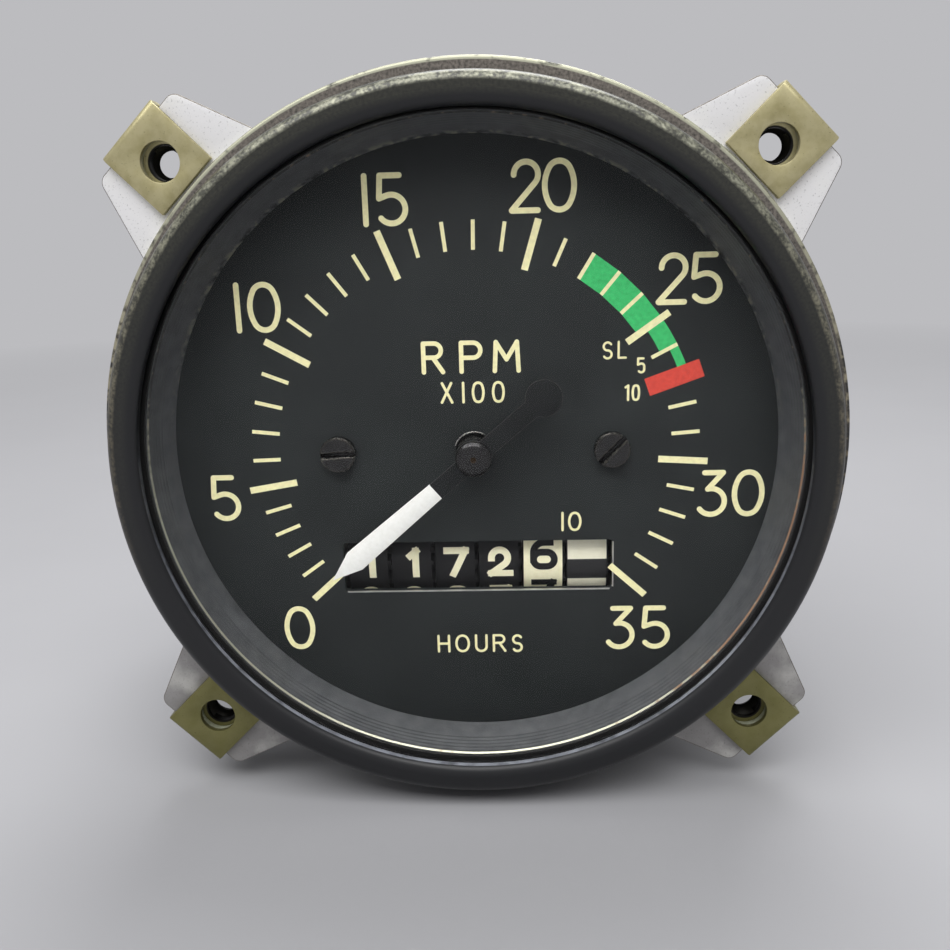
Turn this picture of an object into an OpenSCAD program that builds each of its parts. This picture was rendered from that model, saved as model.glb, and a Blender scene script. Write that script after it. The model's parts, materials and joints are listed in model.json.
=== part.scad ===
// Recording tachometer for a 3 1/8 inch aircraft instrument panel.
// X points right, Y into the panel and Z up. The origin is the centre of the bolt circle, in the
// plane of the clip nut faces, which seat against the back of the panel. Lengths are millimetres.
// The sizes grow outwards: the case clears the movement, and the bezel and ears follow the case.

/* [Panel fit] */
// Distance from the edge of the bezel flange to the circle through the mounting holes
bolt_gap = 3.75; // [3.4:0.05:5]
// Clearance hole in the front leg of a clip nut
screw_hole_d = 4.1; // [3.8:0.1:4.6]
// Major diameter of the thread in a clip nut
thread_d = 3.5; // [3:0.1:3.7]
// Thickness of the clip nut strip
clip_t = 0.7; // [0.5:0.05:1]
// Width of the clip nut strip
clip_w = 7.9; // [7:0.1:9]
// Length of the threaded barrel behind a clip nut
barrel_len = 2.4; // [1.5:0.1:4]
// Outer diameter of the threaded barrel
barrel_d = 6.2; // [5.4:0.1:7]
// Thickness of the mounting plate
ear_t = 1.2; // [0.8:0.1:2]
// Distance from a mounting hole to the end of its ear
ear_reach = 3.65; // [3.2:0.05:5]
// Width of the end of an ear
ear_end_w = 12; // [10:0.1:14]
// Angle by which each side of an ear widens towards the plate
ear_flare = 20; // [10:1:30]
// Corner radius of an ear
ear_round = 0.8; // [0.3:0.1:2]

/* [Bezel and glass] */
// Wall of the bezel around the glass
bezel_wall = 2.6; // [2.3:0.05:4]
// Width of the bezel flange behind the panel
flange_w = 2; // [1.5:0.1:4]
// Height of the bezel in front of the panel seat
bezel_front = 5.4; // [4.7:0.1:8]
// Rounding of the bezel's front edge
bezel_round = 1.2; // [0.5:0.1:1.4]
// Overlap of the bezel lip on the glass
lip_overlap = 0.55; // [0.3:0.05:0.9]
// Thickness of the lip at its inner edge
lip_t = 0.4; // [0.2:0.1:1]
// Depth of the lip from the bezel's crest to the glass
lip_depth = 1.3; // [1.1:0.1:1.6]
// Width of the sloping face inside the crest
lip_slope_w = 1.3; // [0.8:0.1:1.5]
// Overlap of the cover glass on the end of the case tube
glass_overlap = 0.4; // [0.2:0.05:0.8]
// Thickness of the cover glass
glass_t = 1.4; // [1:0.1:1.7]
// Thickness of the glass gasket
gasket_t = 0.3; // [0.2:0.05:0.5]
// Width of the spacer ring at the glass
spacer_front_w = 1.05; // [0.8:0.05:1.4]
// Width of the spacer ring at the dial
spacer_back_w = 2.45; // [2:0.05:4]
// Number of screws that hold the bezel from behind
bezel_screw_count = 6; // [4:1:8]

/* [Case] */
// Clearance between the movement and the case
case_room = 1; // [0.6:0.1:4]
// Wall of the case tube and thickness of its back
case_wall = 1; // [0.8:0.1:1.4]
// Thickness of the case flange
case_flange_t = 1.2; // [1:0.1:2]
// Rounding of the back edge of the case
case_round = 2; // [1:0.1:2.5]

/* [Dial] */
// Thickness of the dial
dial_t = 0.8; // [0.5:0.1:1.2]
// Height of the hour meter window
window_h = 6; // [5:0.1:7]
// Diameter of the hole for the pointer staff
dial_hole_d = 5.2; // [4.4:0.1:6]
// Distance between the two dial screws
dial_screw_span = 30.5; // [26:0.1:35]
// Head diameter of a dial screw
dial_screw_head_d = 4; // [3.4:0.1:4.6]

/* [Pointer] */
// Angle of the zero mark, anticlockwise from the right
zero_angle = 222.2; // [200:0.1:245]
// Distance from the pointer axis to its tip
pointer_len = 21.7; // [19:0.1:25]
// Distance from the pointer axis to the shoulder where the blade tapers
pointer_shoulder = 18.2; // [15:0.1:18.6]
// Width of the blade at the hub
pointer_root_w = 2.1; // [1.5:0.1:3]
// Width of the blade at its shoulder
pointer_shoulder_w = 3.1; // [2.2:0.1:4]
// Distance from the pointer axis to the balance disc on the tail
tail_len = 10; // [8:0.1:12]
// Diameter of the balance disc on the tail
tail_d = 4; // [3:0.1:5]
// Thickness of the pointer
pointer_t = 0.4; // [0.3:0.05:0.6]
// Height of the rivet head in front of the pointer
pointer_rivet_h = 0.5; // [0.3:0.05:0.6]
// Diameter of the pointer hub behind the blade
pointer_hub_d = 4; // [3.4:0.1:4.6]
// Diameter of the pointer staff
staff_d = 1.2; // [1:0.05:1.4]

/* [Hour meter] */
// Diameter of a counter drum
drum_d = 16; // [14:0.1:18]
// Distance between the centres of neighbouring drums
drum_pitch = 5.1; // [4.4:0.05:5.8]
// Diameter of the fixed axle through the drums
axle_d = 2; // [1.6:0.1:2.4]
// Diameter of the fixed shaft through the transfer pinions
pinion_shaft_d = 1.2; // [1:0.1:1.4]
// Sheet thickness of the counter frame
frame_t = 1.2; // [0.8:0.1:1.6]

/* [Drive] */
// Outer diameter of the threaded drive stem, a 7/8 inch thread
stem_d = 22.22; // [19:0.02:26]
// Length of the threaded drive stem
stem_len = 13.5; // [12:0.1:20]
// Bore of the stem that pilots the drive cable's ferrule
pilot_d = 12.7; // [11:0.1:15]
// Depth of the pilot bore
pilot_depth = 9.5; // [6:0.1:10.6]
// Diameter of the drive shaft
shaft_d = 4.8; // [4.2:0.1:5.4]
// Diameter of the drive magnet
magnet_d = 20.8; // [18:0.1:23.4]
// Length of the drive magnet
magnet_len = 6.4; // [5.6:0.1:10]
// Wall thickness of the drag cup
cup_t = 0.5; // [0.3:0.05:0.6]
// Radial air gap on each side of the drag cup's wall
air_gap = 1; // [0.7:0.05:1.2]
// Wall thickness of the field cup
field_t = 2.5; // [2.2:0.1:3]
// Thickness of the two movement plates
plate_t = 2; // [1.6:0.1:3]

/* [Hidden] */
$fn = 96;
// Clearance of a fixed fit, and of a shaft that runs in its bearing, on the radius
fit = 0.02;
run = 0.05;
// Clearance between pieces that only pass each other, and across the movement's wider spaces
pass = 0.3;
space = 0.5;
// Depth by which a cut runs past the face that it opens
cut = 0.5;
// Slot of a screw head: its width, and its depth as a share of the head
slot_w = 0.6;
slot_share = 0.45;

// Depths of the panel seat, the bezel, the glass and the dial
ear_front = clip_t;
ear_back = ear_front + ear_t;
clip_back = ear_back + clip_t;
clip_bend = clip_t * 0.9;
glass_front = lip_depth - bezel_front;
glass_back = glass_front + glass_t;
spacer_front = glass_back + gasket_t;
case_flange_back = ear_back + case_flange_t;
dial_play = 0.1;
dial_front = ear_back + dial_play;
dial_back = dial_front + dial_t;
dial_screw_d = 1.9;
dial_screw_head_h = 1;
dial_screw_len = 3;

// Pointer, its hub and its staff bridge
pointer_front = glass_back + pass + pointer_rivet_h;
pointer_back = pointer_front + pointer_t;
hub_gap = 0.8;
hub_back = dial_front - hub_gap;
rivet_d = 2.6;
rivet_head_d = 3.2;
post_d = 4;
post_x = dial_screw_span / 2;
dial_post_len = 3.2;
bridge_front = dial_back + dial_post_len;
bridge_t = 1.5;
bridge_back = bridge_front + bridge_t;
bridge_w = 7;
stud_d = 2.2;
stud_depth = 3;
bearing_d = 3.2;

// Hairspring: a flat spiral between the collet on the staff and a stud on the bridge
collet_d = 3;
collet_gap = 0.15;
spring_turns = 3.5;
spring_t = 0.2;
spring_w = 0.8;
spring_in_r = collet_d / 2 + collet_gap + spring_t / 2;
spring_out_r = 4.6;
spring_lift = 1;
spring_front = bridge_back + spring_lift;
spring_steps = 32;
spring_gap = (spring_out_r - spring_in_r) / spring_turns - spring_t;
spring_stud_d = 1;

// Counter drums below the hairspring, with the transfer pinions straight below the drums
drum_r = drum_d / 2;
drum_count = 6;
drum_y = dial_back + space + drum_r;
spring_room = 0.9;
window_z = -(spring_out_r + spring_t / 2 + spring_room + drum_r);
window_w = drum_pitch * drum_count + pass;
drum_gap = 0.3;
drum_gear_w = 0.65;
drum_rim_t = 0.9;
drum_web_t = 1.2;
drum_hub_wall = 1.1;
drum_hub_d = axle_d + 2 * drum_hub_wall;
pinion_w = 0.4;
drum_teeth = 20;
pinion_teeth = 8;
drum_gear_step = 0.6;
drum_gear_r = drum_r - drum_gear_step;
drum_module = 2 * drum_gear_r / drum_teeth;
pinion_r = drum_module * pinion_teeth / 2;
tooth_top = 0.7;
tooth_foot = 0.95;
tooth_flank = 20;
tooth_lash = 0.25;
worm_slices = 14;
mesh_gap = 0.2;
pinion_z = window_z - drum_gear_r - pinion_r - mesh_gap;

// Worm train from the drive shaft to the cross shaft and on to the lay shaft
train_module = 0.63;
train_teeth = 20;
train_wheel_r = train_module * train_teeth / 2;
train_tip_r = train_wheel_r + tooth_top * train_module;
first_worm_wall = 0.6;
first_worm_r = shaft_d / 2 + first_worm_wall + tooth_foot * train_module;
train_turns = 4.5;
train_wheel_w = 2;
cross_d = 2.4;
cross_z = -(train_wheel_r + first_worm_r + mesh_gap);
second_worm_wall = 1.65;
second_worm_r = cross_d / 2 + second_worm_wall + tooth_foot * train_module;
lay_d = 2;
lay_z = cross_z - train_wheel_r - second_worm_r - mesh_gap;
lay_bush_wall = 1.2;
lay_bush_d = lay_d + 2 * lay_bush_wall;

// Last worm and the counter wheel, which fills the height left between the two axes
last_worm_r = 2;
last_turns = 5;
last_teeth = 17;
last_wheel_r = window_z - lay_z - last_worm_r - mesh_gap;
last_module = 2 * last_wheel_r / last_teeth;
last_worm_tip_r = last_worm_r + tooth_top * last_module;
counter_left = -drum_pitch * drum_count / 2 - space;
drum_end = drum_pitch * drum_count / 2 - drum_gap / 2;
lay_x = drum_end + last_worm_tip_r + pass;
counter_wheel_w = 2;
counter_wheel_x = lay_x - counter_wheel_w / 2;
counter_right = lay_x + last_worm_tip_r + space;
second_worm_half = PI * train_module * train_turns / 2;
third_worm_half = PI * last_module * last_turns / 2;
bracket_t = 2;
bracket_half = 3.5;
cross_left = -7;
cross_right = lay_x + second_worm_half + 2 * space;

// Movement plates, drag cup, magnet and field cup from front to back
web_front = drum_y + drum_r + space;
web_half = 3.5;
cheek_reach = 3.5;
cheek_low = pinion_z - pinion_shaft_d;
mid_front = web_front + frame_t;
mid_back = mid_front + plate_t;
staff_hole_d = 6;
cup_lift = 2;
cup_front = mid_back + cup_lift;
cup_hub_len = 1.4;
cup_hub_front = cup_front - cup_hub_len;
cup_in_r = magnet_d / 2 + air_gap;
cup_out_r = cup_in_r + cup_t;
field_in_r = cup_out_r + air_gap;
field_out_r = field_in_r + field_t;
magnet_front = cup_front + cup_t + air_gap;
magnet_back = magnet_front + magnet_len;
field_floor_gap = 0.8;
field_web_front = magnet_back + field_floor_gap;
field_web_t = 1.2;
field_back = field_web_front + field_web_t;
train_y = field_back + space + train_tip_r;
rear_front = train_y + train_tip_r + space;
rear_back = rear_front + plate_t;
case_back = rear_back + case_wall;
bush_wall = 1.6;
bush_d = shaft_d + 2 * bush_wall;
pivot_d = 0.8;
staff_bore_depth = 5;
pivot_len = 3;

// Radii from the movement outwards, which bring the bolt circle to 88.9
movement_r = max(norm([lay_x, lay_z]) + train_tip_r, norm([counter_right + frame_t, cheek_low]));
case_in_r = movement_r + case_room;
case_r = case_in_r + case_wall;
dial_r = case_in_r - pass;
glass_r = case_r + glass_overlap;
glass_play = 0.15;
pocket_r = glass_r + glass_play;
lip_r = glass_r - lip_overlap;
spacer_front_r = glass_r - spacer_front_w;
spacer_back_r = glass_r - spacer_back_w;
bezel_r = pocket_r + bezel_wall;
flange_r = bezel_r + flange_w;
plate_inset = 0.5;
plate_r = flange_r - plate_inset;
case_flange_inset = 0.7;
case_flange_r = flange_r - case_flange_inset;
bolt_r = flange_r + bolt_gap;
ear_angles = [45, 135, 225, 315];
ear_end = bolt_r + ear_reach;
ear_hole_d = screw_hole_d + 2 * pass;
clip_gap = 0.2;
clip_start = flange_r + clip_gap;
clip_end = ear_end + pass + clip_t;

// Screws and pillars
bezel_screw_r = (pocket_r + bezel_r) / 2;
bezel_screw_d = 1.6;
bezel_screw_head_d = 2.6;
bezel_screw_head_h = 1;
bezel_screw_depth = 3;
pillar_d = 4;
pillar_edge = 4.6;
pillar_angles = [0, 45, 135, 210];
pillar_points = [for (a = pillar_angles) (movement_r - pillar_edge) * [cos(a), sin(a)]];
screw_d = 1.6;
screw_head_d = 2.8;
screw_head_h = 1.1;
screw_depth = 4;
case_screw_d = 2.4;
case_screw_head_d = 4.4;
case_screw_head_h = 1.6;
field_screw_count = 3;
field_screw_r = (field_in_r + field_out_r) / 2;
counter_screw_inset = 2.8;
counter_screw_x = -counter_left - counter_screw_inset;

// Drive stem, and the coupling at the bottom of its pilot bore
stem_flange_w = 5.9;
stem_flange_r = stem_d / 2 + stem_flange_w;
stem_flange_t = 2.5;
stem_chamfer = 0.8;
stem_back = case_back + stem_flange_t + stem_len;
stem_screw_count = 4;
stem_screw_r = stem_d / 2 + stem_flange_w / 2;
stem_screw_len = case_wall + stem_flange_t + plate_t - pass;
coupling_d = shaft_d + 2 * bush_wall;
coupling_front = case_back + pass;
coupling_back = stem_back - pilot_depth - pass;
socket_w = 3.2;
socket_depth = 3;
socket_front = coupling_back - socket_depth;

// Points along an arc about a centre, from one angle to another
function arc(centre, r, from, to, steps = 8) =
    [for (i = [0:steps])
        let (a = from + (to - from) * i / steps)
        centre + r * [cos(a), sin(a)]];

// Outline of a straight-toothed wheel, with a tooth on the x axis
function wheel_outline(teeth, pitch_r, size) =
    let (half = PI * pitch_r / teeth / 2 - tooth_lash / 2)
    [for (i = [0:teeth - 1])
        for (p = [[-1, -tooth_foot], [-1, tooth_top], [1, tooth_top], [1, -tooth_foot]])
            let (rise = p[1] * size)
            let (r = pitch_r + rise)
            let (a = 360 * i / teeth + p[0] * (half - rise * tan(tooth_flank)) / r * 180 / PI)
            r * [cos(a), sin(a)]];

// Cross-section of a single-start worm, with its crest on the x axis
function worm_outline(pitch_r, size) =
    let (half = PI * size / 4 - tooth_lash / 2)
    let (turn = 360 / (PI * size))
    let (tip_a = (half - tooth_top * size * tan(tooth_flank)) * turn)
    let (foot_a = (half + tooth_foot * size * tan(tooth_flank)) * turn)
    let (tip_r = pitch_r + tooth_top * size)
    concat(arc([0, 0], tip_r, -tip_a, tip_a, 2),
        arc([0, 0], pitch_r - tooth_foot * size, foot_a, 360 - foot_a, 5));

// Flat spiral strip: its outer edge out and its inner edge back
function spiral_outline() =
    let (steps = spring_turns * spring_steps)
    let (edge = [for (side = [1, -1])
        [for (i = [0:steps])
            let (k = side > 0 ? i : steps - i)
            let (r = spring_in_r + (spring_out_r - spring_in_r) * k / steps + side * spring_t / 2)
            let (a = 360 * spring_turns * k / steps)
            r * [cos(a), sin(a)]]])
    concat(edge[0], edge[1]);

// Solid of revolution about Y, from points of radius and depth
module turned(points) {
    rotate([-90, 0, 0])
        rotate_extrude()
            polygon(points);
}

// Round bar along Y
module rod(d, from, to) {
    translate([0, from, 0])
        rotate([-90, 0, 0])
            cylinder(d = d, h = to - from);
}

// Round bar along X
module rod_x(d, from, to) {
    translate([from, 0, 0])
        rotate([0, 90, 0])
            cylinder(d = d, h = to - from);
}

// Plate square to Y, drawn as seen from the front
module plate(from, to) {
    translate([0, to, 0])
        rotate([90, 0, 0])
            linear_extrude(to - from)
                children();
}

// Plate square to X, drawn with Y to the right
module plate_x(from, to) {
    translate([from, 0, 0])
        rotate([90, 0, 90])
            linear_extrude(to - from)
                children();
}

module at(point) {
    translate([point[0], 0, point[1]])
        children();
}

// Copies on a circle about Y
module around(count, r, start = 0) {
    for (i = [0:count - 1])
        at(r * [cos(start + 360 * i / count), sin(start + 360 * i / count)])
            children();
}

// Copies along the four ears, with X pointing outwards
module on_ears() {
    for (a = ear_angles)
        rotate([0, -a, 0])
            children();
}

module on_counter_axis() {
    translate([0, drum_y, window_z])
        children();
}

// Threaded worm along Y about its middle; hand is 1 for right and -1 for left, facing is its crest
module worm(pitch_r, size, turns, bore, hand, facing) {
    lead = PI * size;
    length = turns * lead;
    twist = hand * 360 * turns;
    translate([0, -length / 2, 0])
        rotate([-90, 0, 0])
            difference() {
                linear_extrude(length, twist = -twist, slices = worm_slices * turns, segments = 1)
                    rotate(facing - twist / 2)
                        polygon(worm_outline(pitch_r, size));
                translate([0, 0, -cut])
                    cylinder(r = bore, h = length + 2 * cut);
            }
}

// Screw along Y whose head lies in front of its seat, with a slot in the head
module screw(d, head_d, head_h, seat, length, slot_a = 0) {
    difference() {
        union() {
            rod(head_d, seat - head_h, seat);
            rod(d, seat - fit, seat + length);
        }
        rotate([0, slot_a, 0])
            translate([-head_d, seat - head_h - cut, -slot_w / 2])
                cube([2 * head_d, cut + head_h * slot_share, slot_w]);
    }
}

// The same screw with its head behind its seat
module screw_from_back(d, head_d, head_h, seat, length, slot_a = 0) {
    mirror([0, 1, 0])
        screw(d, head_d, head_h, -seat, length, slot_a);
}

module bezel() {
    edge = [bezel_r - bezel_round, bezel_round - bezel_front];
    color("#1b1b1d")
        difference() {
            turned(concat(
                [[pocket_r, ear_front], [pocket_r, glass_front], [lip_r, glass_front],
                    [lip_r, glass_front - lip_t], [lip_r + lip_slope_w, -bezel_front]],
                arc(edge, bezel_round, -90, 0),
                [[bezel_r, 0], [flange_r, 0], [flange_r, ear_front]]));
            around(bezel_screw_count, bezel_screw_r)
                rod(bezel_screw_d + 2 * fit, ear_front - bezel_screw_depth - cut, ear_front + cut);
        }
}

module cover_glass() {
    color("#dfe8ea", 0.3)
        rod(2 * glass_r, glass_front, glass_back);
}

module glass_gasket() {
    color("#222222")
        turned([[spacer_front_r, glass_back], [glass_r, glass_back], [glass_r, spacer_front],
            [spacer_front_r, spacer_front]]);
}

module spacer_ring() {
    color("#3a3b3d")
        turned([[spacer_front_r, spacer_front], [glass_r, spacer_front], [glass_r, ear_back],
            [spacer_back_r, ear_back]]);
}

// One ear of the mounting plate, pointing along X
module ear_outline() {
    half = ear_end_w / 2;
    root = lip_r;
    root_half = half + (ear_end - root) * tan(ear_flare);
    corner = [ear_end - ear_round, half - ear_round * (1 - sin(ear_flare)) / cos(ear_flare)];
    upper = arc(corner, ear_round, 0, 90 - ear_flare, 4);
    lower = [for (i = [len(upper) - 1:-1:0]) [upper[i][0], -upper[i][1]]];
    polygon(concat([[root, -root_half]], lower, upper, [[root, root_half]]));
}

module mounting_plate() {
    color("#b9b3bb")
        difference() {
            plate(ear_front, ear_back)
                difference() {
                    union() {
                        circle(plate_r);
                        for (a = ear_angles)
                            rotate(a)
                                ear_outline();
                    }
                    circle(pocket_r);
                }
            around(len(ear_angles), bolt_r, ear_angles[0])
                rod(ear_hole_d, ear_front - cut, ear_back + cut);
            around(bezel_screw_count, bezel_screw_r)
                rod(bezel_screw_d + 2 * fit, ear_front - cut, ear_back + cut);
        }
}

// Folded strip nuts, one on each ear, with the fold at the ear's end
module clip_nuts() {
    color("#9c8f55")
        on_ears()
            difference() {
                union() {
                    translate([0, 0, -clip_w / 2])
                        linear_extrude(clip_w)
                            polygon(concat([[clip_start, 0]],
                                arc([clip_end - clip_bend, clip_bend], clip_bend, -90, 0, 4),
                                arc([clip_end - clip_bend, clip_back - clip_bend], clip_bend, 0, 90, 4),
                                [[clip_start, clip_back], [clip_start, ear_back],
                                    [clip_end - clip_t, ear_back], [clip_end - clip_t, ear_front],
                                    [clip_start, ear_front]]));
                    translate([bolt_r, 0, 0])
                        rod(barrel_d, clip_back - fit, clip_back + barrel_len);
                }
                translate([bolt_r, 0, 0]) {
                    rod(screw_hole_d, -cut, ear_front + ear_t / 2);
                    rod(thread_d, 0, clip_back + barrel_len + cut);
                }
            }
}

module case() {
    color("#232325")
        difference() {
            turned(concat(
                [[case_in_r, ear_back], [case_flange_r, ear_back],
                    [case_flange_r, case_flange_back], [case_r, case_flange_back]],
                arc([case_r - case_round, case_back - case_round], case_round, 0, 90),
                [[bush_d / 2 + fit, case_back], [bush_d / 2 + fit, rear_back], [case_in_r, rear_back]]));
            around(bezel_screw_count, bezel_screw_r)
                rod(bezel_screw_d + 2 * fit, ear_back - cut, case_flange_back + cut);
            for (p = pillar_points)
                at(p)
                    rod(case_screw_d + 2 * fit, rear_back - cut, case_back + cut);
            around(stem_screw_count, stem_screw_r, ear_angles[0])
                rod(screw_d + 2 * fit, rear_back - cut, case_back + cut);
        }
}

module bezel_screws() {
    length = case_flange_t + ear_t + bezel_screw_depth;
    color("#8f8f92")
        around(bezel_screw_count, bezel_screw_r)
            screw_from_back(bezel_screw_d, bezel_screw_head_d, bezel_screw_head_h, case_flange_back, length);
}

module dial() {
    color("#202124")
        difference() {
            plate(dial_front, dial_back)
                difference() {
                    circle(dial_r);
                    translate([-window_w / 2, window_z - window_h / 2])
                        square([window_w, window_h]);
                }
            rod(dial_hole_d, dial_front - cut, dial_back + cut);
            for (side = [-1, 1])
                at([side * post_x, 0])
                    rod(dial_screw_d + 2 * dial_play, dial_front - cut, dial_back + cut);
        }
}

module dial_screws() {
    color("#2a2a2c")
        for (side = [-1, 1])
            at([side * post_x, 0])
                screw(dial_screw_d, dial_screw_head_d, dial_screw_head_h, dial_front, dial_screw_len,
                    side > 0 ? -45 : 0);
}

// Posts between the dial and the staff bridge, each with a stud into the post behind
module dial_posts() {
    color("#b8a364")
        for (side = [-1, 1])
            at([side * post_x, 0])
                difference() {
                    union() {
                        rod(post_d, dial_back, bridge_front);
                        rod(stud_d, bridge_front - fit, bridge_back + stud_depth);
                    }
                    rod(dial_screw_d + 2 * fit, dial_back - cut, dial_front + dial_screw_len + fit);
                }
}

module bridge_posts() {
    color("#b8a364")
        for (side = [-1, 1])
            at([side * post_x, 0])
                difference() {
                    union() {
                        rod(post_d, bridge_back, mid_front);
                        rod(stud_d, mid_front - fit, mid_back);
                    }
                    rod(stud_d + 2 * fit, bridge_back - cut, bridge_back + stud_depth + pass);
                }
}

module staff_bridge() {
    color("#c2ad6b")
        difference() {
            plate(bridge_front, bridge_back)
                union() {
                    square([2 * post_x, bridge_w], center = true);
                    for (side = [-1, 1])
                        translate([side * post_x, 0])
                            circle(d = bridge_w);
                }
            rod(bearing_d + 2 * fit, bridge_front - cut, bridge_back + cut);
            for (side = [-1, 1])
                at([side * post_x, 0])
                    rod(stud_d + 2 * fit, bridge_front - cut, bridge_back + cut);
        }
}

module staff_bearing() {
    color("#a0282c")
        difference() {
            rod(bearing_d, bridge_front, bridge_back);
            rod(staff_d + 2 * run, bridge_front - cut, bridge_back + cut);
        }
}

// Blade, hub disc and tail, drawn along X and then turned to the zero mark
module pointer() {
    half = pointer_root_w / 2;
    color("#e8e6df")
        difference() {
            plate(pointer_front, pointer_back)
                rotate(zero_angle)
                    union() {
                        polygon([[-tail_len, -half], [0, -half], [pointer_shoulder, -pointer_shoulder_w / 2],
                            [pointer_len, 0], [pointer_shoulder, pointer_shoulder_w / 2], [0, half],
                            [-tail_len, half]]);
                        circle(d = pointer_hub_d);
                        translate([-tail_len, 0])
                            circle(d = tail_d);
                    }
            rod(rivet_d + 2 * fit, pointer_front - cut, pointer_back + cut);
        }
}

module pointer_hub() {
    color("#1e1e20")
        difference() {
            union() {
                rod(rivet_head_d, pointer_front - pointer_rivet_h, pointer_front);
                rod(rivet_d, pointer_front - fit, pointer_back + fit);
                rod(pointer_hub_d, pointer_back, hub_back);
            }
            rod(staff_d + 2 * fit, pointer_back, hub_back + cut);
        }
}

// Staff from the pointer hub to a fine pivot that runs inside the drive shaft
module pointer_staff() {
    step = magnet_front + staff_bore_depth - pass;
    color("#c9c9cc") {
        rod(staff_d, pointer_back + pass, step);
        rod(pivot_d, step - fit, step + pivot_len);
    }
}

module hairspring_collet() {
    color("#c2ad6b")
        difference() {
            rod(collet_d, spring_front - pass, spring_front + spring_w + pass);
            rod(staff_d + 2 * fit, spring_front - 2 * cut, spring_front + spring_w + 2 * cut);
        }
}

module hairspring() {
    echo(hairspring_gap = spring_gap);
    color("#8d7a4a")
        plate(spring_front, spring_front + spring_w)
            polygon(spiral_outline());
}

module hairspring_stud() {
    end_a = 360 * spring_turns;
    r = spring_out_r + spring_t / 2 + run + spring_stud_d / 2;
    color("#c9c9cc")
        at(r * [cos(end_a), sin(end_a)])
            rod(spring_stud_d, bridge_back, spring_front + spring_w + pass);
}

module drag_cup() {
    bore = staff_d / 2 + fit;
    hub = collet_d / 2;
    color("#c4c6c8")
        turned([[bore, cup_hub_front], [hub, cup_hub_front], [hub, cup_front], [cup_out_r, cup_front],
            [cup_out_r, magnet_back], [cup_in_r, magnet_back], [cup_in_r, cup_front + cup_t],
            [bore, cup_front + cup_t]]);
}

// Soft iron cup that closes the magnet's field and carries the shaft's front bush
module field_cup() {
    seat = bush_d / 2 + fit;
    color("#77787c")
        difference() {
            turned([[field_in_r, mid_back], [field_out_r, mid_back], [field_out_r, field_back],
                [seat, field_back], [seat, field_web_front], [field_in_r, field_web_front]]);
            around(field_screw_count, field_screw_r, 90)
                rod(screw_d + 2 * fit, mid_back - cut, mid_back + screw_depth + pass);
        }
}

module front_bush() {
    color("#b08a4a")
        difference() {
            rod(bush_d, field_web_front, field_back);
            rod(shaft_d + 2 * run, field_web_front - cut, field_back + cut);
        }
}

module rear_bush() {
    color("#b08a4a")
        difference() {
            rod(bush_d, rear_front, case_back);
            rod(shaft_d + 2 * run, rear_front - cut, case_back + cut);
        }
}

module drive_magnet() {
    color("#4b4d52")
        difference() {
            rod(magnet_d, magnet_front, magnet_back);
            rod(shaft_d + 2 * fit, magnet_front - cut, magnet_back + cut);
        }
}

module drive_shaft() {
    pivot_end = magnet_front + staff_bore_depth + pivot_len + pass;
    color("#b9babd")
        difference() {
            rod(shaft_d, magnet_front, socket_front);
            rod(staff_d + 2 * pass, magnet_front - cut, magnet_front + staff_bore_depth);
            rod(pivot_d + 2 * run, magnet_front, pivot_end);
        }
}

module first_worm() {
    color("#a8a9ac")
        translate([0, train_y, 0])
            worm(first_worm_r, train_module, train_turns, shaft_d / 2 + fit, 1, 90);
}

// Sleeve on the end of the drive shaft, with a square socket for the drive cable's tip
module drive_coupling() {
    color("#8c8d90")
        difference() {
            rod(coupling_d, coupling_front, coupling_back);
            rod(shaft_d + 2 * fit, coupling_front - cut, socket_front);
            translate([-socket_w / 2, socket_front - fit, -socket_w / 2])
                cube([socket_w, socket_depth + cut, socket_w]);
        }
}

module on_cross_axis() {
    translate([0, train_y, cross_z])
        children();
}

module cross_shaft() {
    color("#b9babd")
        on_cross_axis()
            rod_x(cross_d, cross_left, cross_right + bracket_t);
}

module first_worm_wheel() {
    color("#c2a35a")
        on_cross_axis()
            difference() {
                translate([-train_wheel_w / 2, 0, 0])
                    rotate([0, 90, 0])
                        linear_extrude(train_wheel_w)
                            rotate(180 / train_teeth)
                                polygon(wheel_outline(train_teeth, train_wheel_r, train_module));
                rod_x(cross_d + 2 * fit, -train_wheel_w, train_wheel_w);
            }
}

module second_worm() {
    color("#a8a9ac")
        on_cross_axis()
            translate([lay_x, 0, 0])
                rotate([0, 0, -90])
                    worm(second_worm_r, train_module, train_turns, cross_d / 2 + fit, 1, 90);
}

module cross_shaft_brackets() {
    color("#c2ad6b")
        for (x = [cross_left, cross_right])
            difference() {
                plate_x(x, x + bracket_t)
                    translate([train_y - bracket_half, cross_z - bracket_half])
                        square([rear_front - train_y + bracket_half, 2 * bracket_half]);
                on_cross_axis()
                    rod_x(cross_d + 2 * run, x - cut, x + bracket_t + cut);
            }
}

module on_lay_axis() {
    at([lay_x, lay_z])
        children();
}

module lay_shaft() {
    color("#b9babd")
        on_lay_axis()
            rod(lay_d, drum_y - third_worm_half - pass, rear_back - pass);
}

module second_worm_wheel() {
    color("#c2a35a")
        on_lay_axis()
            difference() {
                plate(train_y - train_wheel_w / 2, train_y + train_wheel_w / 2)
                    rotate(90 + 180 / train_teeth)
                        polygon(wheel_outline(train_teeth, train_wheel_r, train_module));
                rod(lay_d + 2 * fit, train_y - train_wheel_w, train_y + train_wheel_w);
            }
}

module third_worm() {
    color("#a8a9ac")
        translate([lay_x, drum_y, lay_z])
            worm(last_worm_r, last_module, last_turns, lay_d / 2 + fit, -1, -90);
}

module lay_shaft_bushes() {
    color("#b08a4a")
        on_lay_axis()
            for (front = [mid_front, rear_front])
                difference() {
                    rod(lay_bush_d, front, front + plate_t);
                    rod(lay_d + 2 * run, front - cut, front + plate_t + cut);
                }
}

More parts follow.
